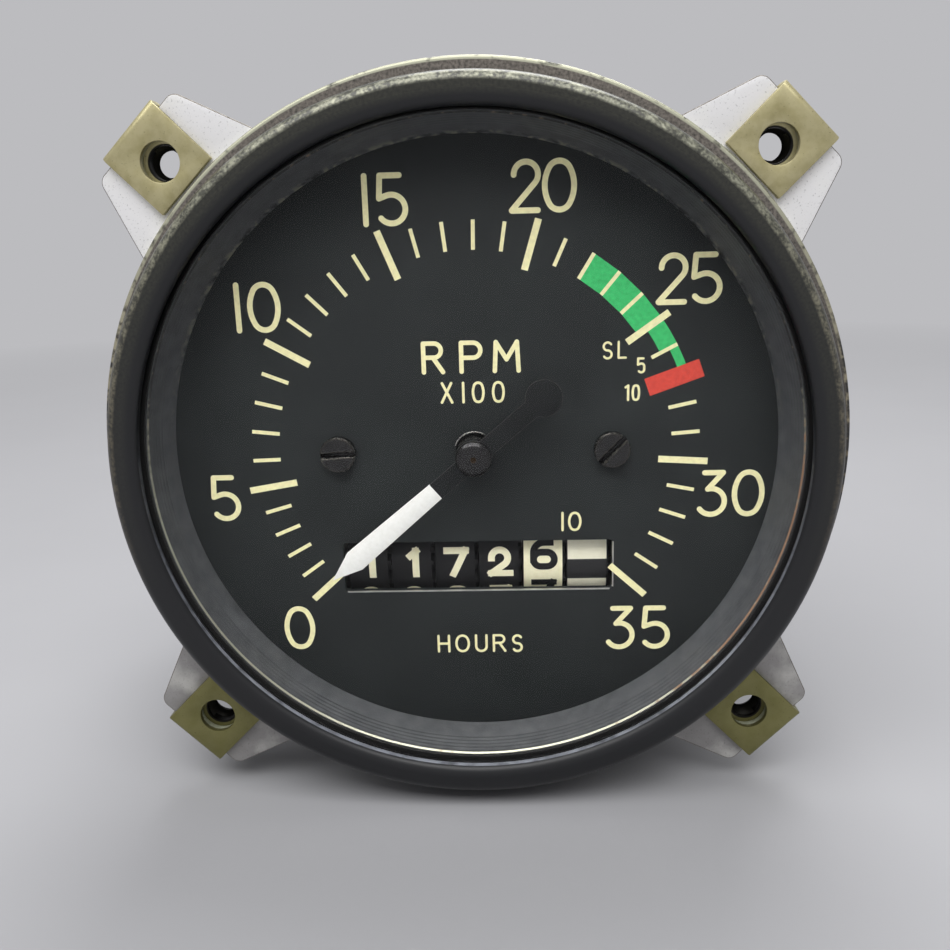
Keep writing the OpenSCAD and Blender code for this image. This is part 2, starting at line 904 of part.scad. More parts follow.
// Bent sheet that carries the drums: two cheeks and a web against the middle plate
module counter_frame() {
    cheek_front = drum_y - cheek_reach;
    cheek_high = window_z + web_half;
    color("#a9a294")
        difference() {
            union() {
                for (x = [counter_left - frame_t, counter_right])
                    plate_x(x, x + frame_t)
                        translate([cheek_front, cheek_low])
                            square([mid_front - cheek_front, cheek_high - cheek_low]);
                plate(web_front, mid_front)
                    translate([counter_left - fit, window_z - web_half])
                        square([counter_right - counter_left + 2 * fit, 2 * web_half]);
            }
            on_counter_axis()
                rod_x(axle_d + 2 * fit, counter_left - frame_t - cut, counter_right + frame_t + cut);
            translate([0, drum_y, pinion_z])
                rod_x(pinion_shaft_d + 2 * fit, counter_left - frame_t - cut, counter_right + frame_t + cut);
            for (side = [-1, 1])
                at([side * counter_screw_x, window_z])
                    rod(screw_d + 2 * fit, web_front - cut, mid_front + cut);
        }
}

module counter_screws() {
    color("#8f8f92")
        for (side = [-1, 1])
            at([side * counter_screw_x, window_z])
                screw_from_back(screw_d, screw_head_d, screw_head_h, mid_back, plate_t + frame_t - pass);
}

module counter_axle() {
    color("#c9c9cc")
        on_counter_axis()
            rod_x(axle_d, counter_left - frame_t - pass, counter_right + frame_t + pass);
}

module pinion_shaft() {
    color("#c9c9cc")
        translate([0, drum_y, pinion_z])
            rod_x(pinion_shaft_d, counter_left - frame_t - pass, counter_right + frame_t + pass);
}

// Solid of revolution about the counter axis, from points of radius and X
module turned_drum(points) {
    on_counter_axis()
        rotate([0, 90, 0])
            rotate_extrude()
                polygon(points);
}

// Rim, web and hub of a drum, in radius and X
function drum_section(left, right, hub_right) =
    let (bore = axle_d / 2 + run)
    let (hub = drum_hub_d / 2)
    let (web = right - drum_web_t)
    [[bore, left], [hub, left], [hub, web], [drum_r - drum_rim_t, web], [drum_r - drum_rim_t, left],
        [drum_r, left], [drum_r, right], [hub, right], [hub, hub_right], [bore, hub_right]];

function drum_x(index) = (index - (drum_count - 1) / 2) * drum_pitch;

// A number drum, with the transfer gear on its right side
module number_drum(index, tint) {
    left = drum_x(index) - (drum_pitch - drum_gap) / 2;
    gear_right = drum_x(index) + drum_pitch / 2;
    gear_left = gear_right - drum_gear_w;
    color(tint) {
        turned_drum(drum_section(left, gear_left, gear_right));
        on_counter_axis()
            difference() {
                translate([gear_left - fit, 0, 0])
                    rotate([0, 90, 0])
                        linear_extrude(drum_gear_w + fit)
                            polygon(wheel_outline(drum_teeth, drum_gear_r, drum_module));
                rod_x(drum_hub_d - fit, gear_left - cut, gear_right + cut);
            }
    }
}

// The striped drum at the right, driven by the counter wheel on its long hub
module running_drum() {
    left = drum_x(drum_count - 1) - (drum_pitch - drum_gap) / 2;
    color("#d8d6cc")
        turned_drum(drum_section(left, drum_end, counter_right - pass));
}

module counter_wheel() {
    color("#c2a35a")
        on_counter_axis()
            difference() {
                translate([counter_wheel_x, 0, 0])
                    rotate([0, 90, 0])
                        linear_extrude(counter_wheel_w)
                            rotate(180 / last_teeth)
                                polygon(wheel_outline(last_teeth, last_wheel_r, last_module));
                rod_x(drum_hub_d + 2 * fit, counter_wheel_x - cut, counter_wheel_x + counter_wheel_w + cut);
            }
}

// Transfer pinion below the gap between a drum and its right-hand neighbour
module transfer_pinion(index) {
    middle = drum_x(index) + drum_pitch / 2 - (drum_gear_w - drum_gap / 2) / 2;
    hub = drum_pitch - pass;
    color("#b9b7ae")
        translate([middle, drum_y, pinion_z])
            difference() {
                union() {
                    translate([-pinion_w / 2, 0, 0])
                        rotate([0, 90, 0])
                            linear_extrude(pinion_w)
                                rotate(180 / pinion_teeth)
                                    polygon(wheel_outline(pinion_teeth, pinion_r, drum_module));
                    rod_x(2 * pinion_shaft_d, -hub / 2, hub / 2);
                }
                rod_x(pinion_shaft_d + 2 * run, -hub, hub);
            }
}

module mid_plate() {
    color("#c2ad6b")
        difference() {
            rod(2 * movement_r, mid_front, mid_back);
            rod(staff_hole_d, mid_front - cut, mid_back + cut);
            on_lay_axis()
                rod(lay_bush_d + 2 * fit, mid_front - cut, mid_back + cut);
            for (side = [-1, 1]) {
                at([side * post_x, 0])
                    rod(stud_d + 2 * fit, mid_front - cut, mid_back + cut);
                at([side * counter_screw_x, window_z])
                    rod(screw_d + 2 * fit, mid_front - cut, mid_back + cut);
            }
            for (p = pillar_points)
                at(p)
                    rod(screw_d + 2 * fit, mid_front - cut, mid_back + cut);
            around(field_screw_count, field_screw_r, 90)
                rod(screw_d + 2 * fit, mid_front - cut, mid_back + cut);
        }
}

// Screws through the middle plate into the pillars and the field cup
module mid_plate_screws() {
    color("#8f8f92") {
        for (p = pillar_points)
            at(p)
                screw(screw_d, screw_head_d, screw_head_h, mid_front, plate_t + screw_depth);
        around(field_screw_count, field_screw_r, 90)
            screw(screw_d, screw_head_d, screw_head_h, mid_front, plate_t + screw_depth);
    }
}

module rear_plate() {
    color("#c2ad6b")
        difference() {
            rod(2 * movement_r, rear_front, rear_back);
            rod(bush_d + 2 * fit, rear_front - cut, rear_back + cut);
            on_lay_axis()
                rod(lay_bush_d + 2 * fit, rear_front - cut, rear_back + cut);
            for (p = pillar_points)
                at(p)
                    rod(case_screw_d + 2 * fit, rear_front - cut, rear_back + cut);
            around(stem_screw_count, stem_screw_r, ear_angles[0])
                rod(screw_d + 2 * fit, rear_front - cut, rear_back + cut);
        }
}

module pillars() {
    color("#b8a364")
        for (p = pillar_points)
            at(p)
                difference() {
                    rod(pillar_d, mid_back, rear_front);
                    rod(screw_d + 2 * fit, mid_back - cut, mid_back + screw_depth + pass);
                    rod(case_screw_d + 2 * fit, rear_front - screw_depth - pass, rear_front + cut);
                }
}

module case_screws() {
    color("#7d7d80")
        for (p = pillar_points)
            at(p)
                screw_from_back(case_screw_d, case_screw_head_d, case_screw_head_h, case_back,
                    case_wall + plate_t + screw_depth);
}

// Threaded nipple for the drive cable, with a pilot bore and a screwed flange
module drive_stem() {
    flange_back = case_back + stem_flange_t;
    bore = coupling_d / 2 + pass;
    color("#8a8578")
        difference() {
            turned([[bore, case_back], [stem_flange_r, case_back], [stem_flange_r, flange_back],
                [stem_d / 2, flange_back], [stem_d / 2, stem_back - stem_chamfer],
                [stem_d / 2 - stem_chamfer, stem_back], [pilot_d / 2, stem_back],
                [pilot_d / 2, stem_back - pilot_depth], [bore, stem_back - pilot_depth]]);
            around(stem_screw_count, stem_screw_r, ear_angles[0])
                rod(screw_d + 2 * fit, case_back - cut, flange_back + cut);
        }
}

module stem_screws() {
    color("#8f8f92")
        around(stem_screw_count, stem_screw_r, ear_angles[0])
            screw_from_back(screw_d, screw_head_d, screw_head_h, case_back + stem_flange_t, stem_screw_len);
}

bezel();
cover_glass();
glass_gasket();
spacer_ring();
mounting_plate();
clip_nuts();
case();
bezel_screws();
dial();
dial_screws();
dial_posts();
staff_bridge();
bridge_posts();
pointer();
pointer_hub();
pointer_staff();
staff_bearing();
hairspring_collet();
hairspring();
hairspring_stud();
drag_cup();
field_cup();
mid_plate_screws();
drive_magnet();
drive_shaft();
front_bush();
rear_bush();
first_worm();
drive_coupling();
cross_shaft();
first_worm_wheel();
second_worm();
cross_shaft_brackets();
lay_shaft();
second_worm_wheel();
third_worm();
lay_shaft_bushes();
counter_frame();
counter_screws();
counter_axle();
number_drum(0, "#1d1d1f");  // number_drum_1
number_drum(1, "#1d1d1f");  // number_drum_2
number_drum(2, "#1d1d1f");  // number_drum_3
number_drum(3, "#1d1d1f");  // number_drum_4
number_drum(4, "#e4e2da");  // tenths_drum
running_drum();
counter_wheel();
transfer_pinion(0);  // transfer_pinion_1
transfer_pinion(1);  // transfer_pinion_2
transfer_pinion(2);  // transfer_pinion_3
transfer_pinion(3);  // transfer_pinion_4
transfer_pinion(4);  // transfer_pinion_5
pinion_shaft();
mid_plate();
rear_plate();
pillars();
case_screws();
drive_stem();
stem_screws();
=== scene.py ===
# %% [markdown]
# # Aircraft tachometer
# A round panel instrument. A black bezel holds a glass over a dial with a pointer and a drum hour meter, and four
# ears with clip nuts fix it behind the panel. The imported model already has every piece in its place, so it is loaded
# first. Its box is kept, and the floor is later set at its bottom.

# %% Load the frame
import json
from math import acos, atan2, ceil, cos, degrees, dist, pi, radians, sin, sqrt, tan

import bmesh
import bpy
from bmesh.types import BMEdge, BMFace, BMVert
from mathutils import Matrix, Vector


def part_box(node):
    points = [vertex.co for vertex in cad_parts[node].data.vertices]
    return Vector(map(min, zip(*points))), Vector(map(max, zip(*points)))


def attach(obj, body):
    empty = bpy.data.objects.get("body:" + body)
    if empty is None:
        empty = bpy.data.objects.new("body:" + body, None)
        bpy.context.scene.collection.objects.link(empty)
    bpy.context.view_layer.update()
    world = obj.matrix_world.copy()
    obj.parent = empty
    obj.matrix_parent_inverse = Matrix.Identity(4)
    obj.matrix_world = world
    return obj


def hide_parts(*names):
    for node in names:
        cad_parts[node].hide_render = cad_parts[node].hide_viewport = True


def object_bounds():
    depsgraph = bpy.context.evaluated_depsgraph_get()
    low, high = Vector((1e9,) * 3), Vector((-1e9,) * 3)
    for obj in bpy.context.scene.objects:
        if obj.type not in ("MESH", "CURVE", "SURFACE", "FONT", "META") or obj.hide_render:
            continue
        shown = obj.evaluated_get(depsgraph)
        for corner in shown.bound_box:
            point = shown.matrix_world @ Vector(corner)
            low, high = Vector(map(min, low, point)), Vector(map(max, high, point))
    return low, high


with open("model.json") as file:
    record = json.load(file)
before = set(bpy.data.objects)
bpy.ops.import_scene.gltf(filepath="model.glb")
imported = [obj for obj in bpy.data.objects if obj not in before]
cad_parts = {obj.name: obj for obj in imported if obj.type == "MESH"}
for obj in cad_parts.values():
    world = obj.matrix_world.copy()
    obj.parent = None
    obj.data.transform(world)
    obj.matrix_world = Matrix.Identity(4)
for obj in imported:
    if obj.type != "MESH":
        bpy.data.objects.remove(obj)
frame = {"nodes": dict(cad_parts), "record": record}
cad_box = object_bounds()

MM = 0.001
print("loaded", len(frame["nodes"]), "nodes; size in mm:", [round(s / MM, 1) for s in cad_box[1] - cad_box[0]])

# %% [markdown]
# ## Camera
# A photograph is matched by finding where its camera stood. The dial's tick marks lie on known circles, so the place,
# the aim, the small roll and the focal length were solved from them. The lens follows from the focal length in
# pixels, because the image is as wide as the sensor.

# %% Camera
CAMERA_AT = Vector((3.57, -99.33, 23.44)) * MM
LOOKS_AT = Vector((0.05, 0.0, -2.29)) * MM
CAMERA_ROLL = radians(-1.5)
FOCAL_PIXELS = 930
IMAGE_PIXELS = 950
SENSOR_MM = 36

camera = bpy.data.objects.new("camera", bpy.data.cameras.new("camera"))
bpy.context.scene.collection.objects.link(camera)
camera.data.sensor_width = SENSOR_MM
camera.data.lens = SENSOR_MM * FOCAL_PIXELS / IMAGE_PIXELS
camera.data.clip_start = 5 * MM
aim = (LOOKS_AT - CAMERA_AT).to_track_quat("-Z", "Y").to_matrix().to_4x4()
camera.matrix_world = Matrix.Translation(CAMERA_AT) @ aim @ Matrix.Rotation(CAMERA_ROLL, 4, "Z")
bpy.context.scene.camera = camera
print("lens in mm:", round(camera.data.lens, 2))

# %% [markdown]
# ## Building a finish from nodes
# Every finish here is worked out by shader nodes from the piece's own Object coordinates, which are metres. Two small
# classes let a finish be written as a formula. Each method adds one step and gives its output, and an input is either
# a plain value or another node's output.

# %% Node helpers
def feed(node, inputs):
    """Set a node's inputs: a plain value is set, and a socket is linked."""
    for name, value in inputs.items():
        if isinstance(value, bpy.types.NodeSocket):
            node.id_data.links.new(value, node.inputs[name])
        else:
            node.inputs[name].default_value = value


class Nodes:
    """The node tree of a material or a world."""

    def __init__(self, owner):
        owner.use_nodes = True
        self.tree = owner.node_tree

    def add(self, kind, inputs, **settings):
        """Add one shader node, with its settings and inputs."""
        made = self.tree.nodes.new("ShaderNode" + kind)
        for name, value in settings.items():
            setattr(made, name, value)
        feed(made, inputs)
        return made

    def spread(self, value, low, high, to_low=0.0, to_high=1.0):
        """Stretch a value from one range to another, held at both ends."""
        return self.add("MapRange", {"Value": value, "From Min": low, "From Max": high, "To Min": to_low,
                                     "To Max": to_high}).outputs["Result"]

    def maths(self, operation, first, second=0.0, third=0.0):
        """One sum of two or three values."""
        return self.add("Math", {0: first, 1: second, 2: third}, operation=operation).outputs[0]

    def times(self, first, second):
        """The product of two values."""
        return self.maths("MULTIPLY", first, second)


class Finish(Nodes):
    """A material in the making, with its main shader and its Object coordinates."""

    def __init__(self, name):
        self.material = bpy.data.materials.new(name)
        super().__init__(self.material)
        self.shader = self.tree.nodes["Principled BSDF"]
        self.at = self.add("TexCoord", {}).outputs["Object"]

    def axis(self, name):
        """The X, Y or Z coordinate."""
        return self.add("SeparateXYZ", {0: self.at}).outputs[name]

    def grain(self, size_mm, detail):
        """Noise from 0 to 1 with lumps of about this size."""
        return self.add("TexNoise", {"Vector": self.at, "Scale": 1 / (size_mm * MM), "Detail": detail}).outputs[0]

    def bump(self, height, depth_mm):
        """A rough surface of this depth."""
        return self.add("Bump", {"Height": height, "Distance": depth_mm * MM}).outputs["Normal"]

    def coats(self, base, *coats):
        """A base colour under coats of other colours, each with the share of it that covers, from 0 to 1."""
        for share, colour in coats:
            base = self.add("MixRGB", {"Fac": share, "Color1": base, "Color2": colour}).outputs["Color"]
        return base

    def blend(self, share, other):
        """Put another shader in place of the main one, by a share from 0 to 1."""
        both = self.add("MixShader", {0: share, 1: self.shader.outputs[0], 2: other.outputs[0]})
        feed(self.tree.nodes["Material Output"], {"Surface": both.outputs[0]})

    def done(self, inputs):
        """Feed the main shader, and return the material."""
        feed(self.shader, inputs)
        return self.material


def rgb(red, green, blue):
    """A colour as it is picked from a picture, 0 to 255, for a shader socket."""
    linear = [((c / 255 + 0.055) / 1.055) ** 2.4 if c > 10 else c / 255 / 12.92 for c in (red, green, blue)]
    return (*linear, 1.0)


print("a mid grey of 128 is", round(rgb(128, 128, 128)[0], 3), "on a socket")

# %% [markdown]
# ## Floor, backdrop and light
# The instrument stands on its rim. A wide pale disc is the floor, and it fades with distance into the same colour as
# the world, so no horizon shows. The world is that colour for the camera, for gloss and through glass, and a softer
# light for everything else. Two broad lamps above light the upper edges of the bezel, which its finish also paints
# bright.

# %% Floor and world
BACKDROP = rgb(188, 188, 191)
FLOOR_R = 3.0
FLOOR_FADE_FROM, FLOOR_FADE_TO = 0.1, 0.6
AMBIENT = 0.47

bm = bmesh.new()
bmesh.ops.create_circle(bm, cap_ends=True, segments=96, radius=FLOOR_R)
bmesh.ops.translate(bm, vec=(0, 0, cad_box[0].z), verts=bm.verts)
floor_mesh = bpy.data.meshes.new("floor")
bm.to_mesh(floor_mesh)
bm.free()
floor = bpy.data.objects.new("floor", floor_mesh)
bpy.context.scene.collection.objects.link(floor)

f = Finish("pale_floor")
away = f.add("VectorMath", {0: f.at}, operation="LENGTH").outputs["Value"]
f.blend(f.spread(away, FLOOR_FADE_FROM, FLOOR_FADE_TO), f.add("Emission", {"Color": BACKDROP, "Strength": 1.0}))
colour = f.coats(rgb(174, 174, 177), (f.grain(60, 3.0), rgb(182, 182, 185)))
floor_mesh.materials.append(f.done({"Base Color": colour, "Roughness": 0.85}))

world = bpy.data.worlds.new("studio")
bpy.context.scene.world = world
f = Nodes(world)
ray = f.add("LightPath", {}).outputs
seen = f.maths("MAXIMUM", f.maths("MAXIMUM", ray["Is Camera Ray"], ray["Is Glossy Ray"]), ray["Is Transmission Ray"])
feed(f.tree.nodes["Background"], {"Color": BACKDROP, "Strength": f.spread(seen, 0, 1, AMBIENT, 1.0)})
print("floor at", round(cad_box[0].z / MM, 2), "mm")

# %% Lamps
def soft_lamp(name, place_mm, width_mm, height_mm, watts):
    """A broad flat lamp that shines at the middle of the dial."""
    lamp = bpy.data.objects.new(name, bpy.data.lights.new(name, "AREA"))
    lamp.data.shape = "RECTANGLE"
    lamp.data.size = width_mm * MM
    lamp.data.size_y = height_mm * MM
    lamp.data.energy = watts
    lamp.location = Vector(place_mm) * MM
    lamp.rotation_euler = (-lamp.location).to_track_quat("-Z", "Y").to_euler()
    bpy.context.scene.collection.objects.link(lamp)
    return lamp


lamps = [soft_lamp("ceiling_lamp", (-80, -320, 560), 860, 420, 4.1),
         soft_lamp("rear_lamp", (60, 240, 480), 340, 340, 1.9)]
bpy.context.scene.view_settings.view_transform = "Standard"
print("lamps:", [lamp.name for lamp in lamps])

# %% [markdown]
# ## Making a piece
# Each new piece is drawn in millimetres in a bmesh and scaled once, when it becomes an object. The dial faces -Y, so
# a drawing on paper has x to the right and z up, and y is the depth. Turned pieces are half profiles spun about the
# dial's axis. Sharp edges are broken with a small bevel, because no real edge is a knife's.

# %% Piece helpers
AROUND = 192
BROKEN_EDGE, SHEET_EDGE, FINE_EDGE = 0.12, 0.1, 0.08
NEAR = 0.01


def closed_line(bm, points):
    """A closed line through points: its corners and its sides."""
    corners = [bm.verts.new(point) for point in points]
    return corners + [bm.edges.new(pair) for pair in zip(corners, corners[1:] + corners[:1])]


def rectangle(left, right, low, high):
    """The corners of a rectangle, as a profile or an outline."""
    return [(left, low), (right, low), (right, high), (left, high)]


def clean(bm):
    """Close seams and poles, and turn every face outwards."""
    bmesh.ops.remove_doubles(bm, verts=bm.verts, dist=0.0001)
    bmesh.ops.recalc_face_normals(bm, faces=bm.faces)


def spun(points, steps, centre=(0, 0, 0), axis=(0, 1, 0)):
    """Spin a closed line once round an axis."""
    bm = bmesh.new()
    bmesh.ops.spin(bm, geom=closed_line(bm, points), cent=centre, axis=axis, angle=2 * pi, steps=steps, use_merge=True)
    clean(bm)
    return bm


def turned(profile, steps=AROUND):
    """Spin a closed profile of (radius, depth) points about the dial's axis."""
    return spun([(r, y, 0) for r, y in profile], steps)


def from_axis(point):
    """The distance of a point from the dial's axis."""
    return Vector((point.x, point.z)).length


def sharp_edges(bm, above=30):
    """The edges where two faces meet at more than this angle, in degrees."""
    return [e for e in bm.edges if len(e.link_faces) == 2 and e.calc_face_angle() > radians(above)]


def edges_at(bm, r, y):
    """The ring of edges at one radius and depth."""
    return [e for e in bm.edges
            if all(abs(v.co.y - y) < NEAR and abs(from_axis(v.co) - r) < NEAR for v in e.verts)]


def soften(bm, edges, width=BROKEN_EDGE, steps=3, finish=-1):
    """Break edges with a round of this width, which may take another of the piece's finishes."""
    bmesh.ops.bevel(bm, geom=edges, offset=width, offset_type="OFFSET", affect="EDGES", segments=steps, profile=0.5,
                    material=finish, clamp_overlap=True)


def give_finish(bm, finish, rule):
    """Give a finish to the faces whose middle meets a rule."""
    for face in bm.faces:
        if rule(face.calc_center_median()):
            face.material_index = finish


def add_piece(name, bm, finishes, body="housing", nodes=(), smooth=25):
    """Turn a drawing in millimetres into an object that rides on a body and may stand for CAD nodes."""
    open_edges = sum(len(e.link_faces) != 2 for e in bm.edges)
    bmesh.ops.scale(bm, vec=(MM, MM, MM), verts=bm.verts)
    mesh = bpy.data.meshes.new(name)
    bm.to_mesh(mesh)
    bm.free()
    mesh.shade_smooth()
    mesh.set_sharp_from_angle(angle=radians(smooth))
    for finish in finishes:
        mesh.materials.append(finish)
    piece = bpy.data.objects.new(name, mesh)
    bpy.context.scene.collection.objects.link(piece)
    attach(piece, body)
    if nodes:
        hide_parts(*nodes)
    print(name, "has", len(mesh.polygons), "faces and", open_edges, "open edges")


def depths(node):
    """The front and back of a CAD node, in millimetres."""
    low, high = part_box(node)
    return low.y / MM, high.y / MM


def outer_r(node):
    """The outer radius of a round CAD node, in millimetres."""
    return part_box(node)[1].x / MM


print("the bezel lies from", *[round(y, 2) for y in depths("bezel")], "mm")

# %% [markdown]
# ## Black enamel
# The bezel is sprayed semi-gloss black. Its upper face is olive grey, which is dust and a painted sheen of the light
# from above. Hands have rubbed the flange's rim and the crest down to bare metal; along the top that metal is wider
# and paler as a painted highlight, a thin painted highlight lies on the lower lip's inner edge, and the upper flange
# is mottled grey brown. Each is placed by radius, depth and height, which are worked out from Object coordinates, and
# noise breaks up its edge.

# %% Black enamel
def radius(f, at):
    """The distance of a place from the dial's axis, in metres."""
    flat = f.add("VectorMath", {0: at, 1: (1, 0, 1)}, operation="MULTIPLY").outputs["Vector"]
    return f.add("VectorMath", {0: flat}, operation="LENGTH").outputs["Value"]


def band(f, value, low, high, soft):
    """1 between two limits in millimetres, falling to 0 over a soft margin."""
    rise = f.spread(value, (low - soft) * MM, low * MM)
    return f.times(rise, f.spread(value, high * MM, (high + soft) * MM, 1.0, 0.0))


def black_enamel():
    """Semi-gloss black paint, dust and painted sheen above, rim and crest worn with painted highlights, and a painted
    lip highlight.
    """
    f = Finish("black_enamel")
    r, y, z = radius(f, f.at), f.axis("Y"), f.axis("Z")
    upper = f.spread(z, -14 * MM, 28 * MM)
    speckle = f.grain(0.3, 3.0)
    patches = f.grain(1.3, 6.0)
    rim = band(f, r, 40.3, 41, 0.1)
    crest = f.times(band(f, r, 37.9, 38.45, 0.3), f.spread(y, -4.3 * MM, -5.0 * MM))
    # A thin painted highlight on the lower half of the lip's inner edge, where the light from above falls.
    lip = f.times(band(f, r, 35.3, 35.43, 0.03), f.spread(z, 5 * MM, -20 * MM))
    flange = f.times(band(f, r, 38.9, 40.3, 0.2), upper)
    # Bare metal on the rim and crest is wear; its growth towards the top is a painted highlight of the light from
    # above.
    rim_wear_and_highlight = f.spread(f.maths("MULTIPLY_ADD", upper, 0.32, patches), 0.62, 0.76)
    crest_wear_and_highlight = f.times(upper, f.spread(f.maths("ADD", speckle, patches), 0.85, 1.25, 0.1, 0.75))
    worn = f.maths("MAXIMUM", f.times(rim, rim_wear_and_highlight), f.times(crest, crest_wear_and_highlight))
    # Olive grey on the upper face: dust, and a painted sheen of the light from above.
    dust_and_sheen = f.times(upper, f.spread(r, 36.2 * MM, 37.0 * MM))
    # The worn metal is tan at the sides and painted paler at the top, as a painted highlight.
    colour = f.coats(rgb(17, 18, 21),
                     (f.times(dust_and_sheen, f.spread(speckle, 0.3, 0.7, 0.35, 1.0)), rgb(58, 58, 50)),
                     (f.times(flange, f.spread(speckle, 0.2, 0.8)), rgb(152, 143, 134)),
                     (worn, f.coats(rgb(150, 128, 98), (upper, rgb(190, 190, 168)))),
                     (f.times(lip, f.spread(patches, 0.3, 0.6, 0.3, 0.8)), rgb(168, 172, 182)))
    gloss = f.spread(dust_and_sheen, 0, 1, 0.4, 0.27)
    return f.done({"Base Color": colour, "Metallic": f.times(worn, 0.75),
                   "Roughness": f.spread(worn, 0, 1, gloss, 0.5), "Normal": f.bump(speckle, 0.003)})


bezel_finish = black_enamel()
print(bezel_finish.name, "has", len(bezel_finish.node_tree.nodes), "nodes")

# %% [markdown]
# ## Bezel
# The bezel is a turned ring with a thin flange at the back, a rounded outer shoulder, and a lip that rolls in over
# the glass. A lathe makes the real one, and a spin is Blender's lathe. The roll of the lip is a quarter of an ellipse,
# so it shades from bright to dark where a flat slope would have one tone.

# %% Bezel
FLANGE_R = outer_r("bezel")
BEZEL_FRONT, BEZEL_BACK = depths("bezel")
SHOULDER_R, SHOULDER_ROUND = 38.7, 1.2
LIP_R, LIP_SLOPE, LIP_T = 35.4, 1.3, 0.4
LIP_STEPS = 8
RIM_ROUND = 0.3
POCKET_R = 36.1
GLASS_FRONT, GLASS_BACK = depths("cover_glass")

lip_front = GLASS_FRONT - LIP_T
roll = []
for i in range(LIP_STEPS + 1):
    angle = radians(90 * i / LIP_STEPS)
    roll.append((LIP_R + LIP_SLOPE * (1 - cos(angle)), lip_front - (lip_front - BEZEL_FRONT) * sin(angle)))
bm = turned([(POCKET_R, BEZEL_BACK), (POCKET_R, GLASS_FRONT), (LIP_R, GLASS_FRONT)] + roll
            + [(SHOULDER_R, BEZEL_FRONT), (SHOULDER_R, 0), (FLANGE_R, 0), (FLANGE_R, BEZEL_BACK)])
soften(bm, edges_at(bm, SHOULDER_R, BEZEL_FRONT), SHOULDER_ROUND, 8)
soften(bm, edges_at(bm, FLANGE_R, 0), RIM_ROUND, 4)
soften(bm, sharp_edges(bm))
add_piece("enamelled_bezel", bm, [bezel_finish], nodes=["bezel"])

# %% [markdown]
# ## Glass
# The cover is a flat pane. Clear glass is a full transmission shader. A lamp's ray would be stopped by it, so for
# shadow rays it is swapped for a transparent shader. A low index keeps its two mirror images as faint as they are on
# the real pane, which is seen almost straight on. The pane is shaded flat right up to its bevel, because smoothed
# corners would bend the view as a lens does.

# %% Glass
GLASS_R = outer_r("cover_glass")


def clear_glass():
    """Clear flat glass that lets the lamps through."""
    f = Finish("clear_glass")
    f.blend(f.add("LightPath", {}).outputs["Is Shadow Ray"], f.add("BsdfTransparent", {}))
    smear = f.spread(f.grain(9.0, 3.0), 0.45, 0.8, 0.0, 0.04)
    return f.done({"Base Color": (1, 1, 1, 1), "Transmission Weight": 1.0, "IOR": 1.15, "Roughness": smear})


bm = turned(rectangle(0, GLASS_R, GLASS_FRONT, GLASS_BACK))
soften(bm, sharp_edges(bm), steps=2)
add_piece("glass_pane", bm, [clear_glass()], nodes=["cover_glass"], smooth=15)

# %% [markdown]
# ## Spacer ring and gasket
# Between glass and dial lies a tapered ring of dark grey painted metal. The lathe's tool left fine steps on its
# inside, near the glass, which catch the light below the dial as thin rings. The steps are real here: the profile goes
# in and out as it runs along the taper. Its front edge is a chamfer, painted above and bare and bright below, where
# the bare metal is both wear and a painted highlight, and rusty low on the right, so the faces of the chamfer take a
# second finish. A thin rubber ring keeps the glass off it.

# %% Spacer ring
SPACER_FRONT, SPACER_BACK = depths("spacer_ring")
SPACER_FRONT_R, SPACER_BACK_R = 35.0, 33.5
SPACER_AROUND = 256
TOOL_STEPS, TOOL_STEP_DEPTH = 5, 0.04
PLAIN_SHARE = 0.45
CHAMFER = 0.16


def grey_paint():
    """Flat dark grey paint, flaked along its upper foot."""
    f = Finish("grey_paint")
    foot = f.times(f.spread(f.axis("Y"), 0.9 * MM, 1.7 * MM), f.spread(f.axis("Z"), 0, 20 * MM))
    flakes = f.grain(0.9, 5.0)
    colour = f.coats(rgb(46, 47, 49), (f.grain(1.6, 5.0), rgb(92, 94, 96)),
                     (f.times(foot, f.spread(flakes, 0.52, 0.6)), rgb(124, 122, 108)),
                     (f.times(foot, f.spread(flakes, 0.46, 0.4)), rgb(8, 8, 8)))
    return f.done({"Base Color": colour, "Roughness": 0.55, "Normal": f.bump(f.grain(0.3, 4.0), 0.02)})


def rusty_edge():
    """A cut edge: painted above, metal showing below as wear and as a painted highlight, and rusty low on the right.
    """
    f = Finish("rusty_edge")
    x, z = f.axis("X"), f.axis("Z")
    patches = f.grain(0.8, 6.0)
    # Painted highlight: the bright metal shows only low on the chamfer, where the light from above catches it.
    bare_and_highlight = f.spread(f.maths("ADD", f.spread(z, 10 * MM, -16 * MM), patches), 0.55, 1.1)
    right = f.times(f.spread(x, 18 * MM, 29 * MM), f.spread(z, 6 * MM, -2 * MM))
    rust = f.spread(f.maths("MULTIPLY_ADD", right, 0.35, patches), 0.6, 0.8)
    return f.done({"Base Color": f.coats(rgb(40, 40, 41), (bare_and_highlight, rgb(172, 171, 153)), (rust, rgb(142, 110, 86))),
                   "Metallic": f.times(bare_and_highlight, f.spread(rust, 0, 1, 0.9, 0.15)),
                   "Roughness": f.spread(rust, 0, 1, 0.36, 0.6), "Normal": f.bump(rust, 0.008)})


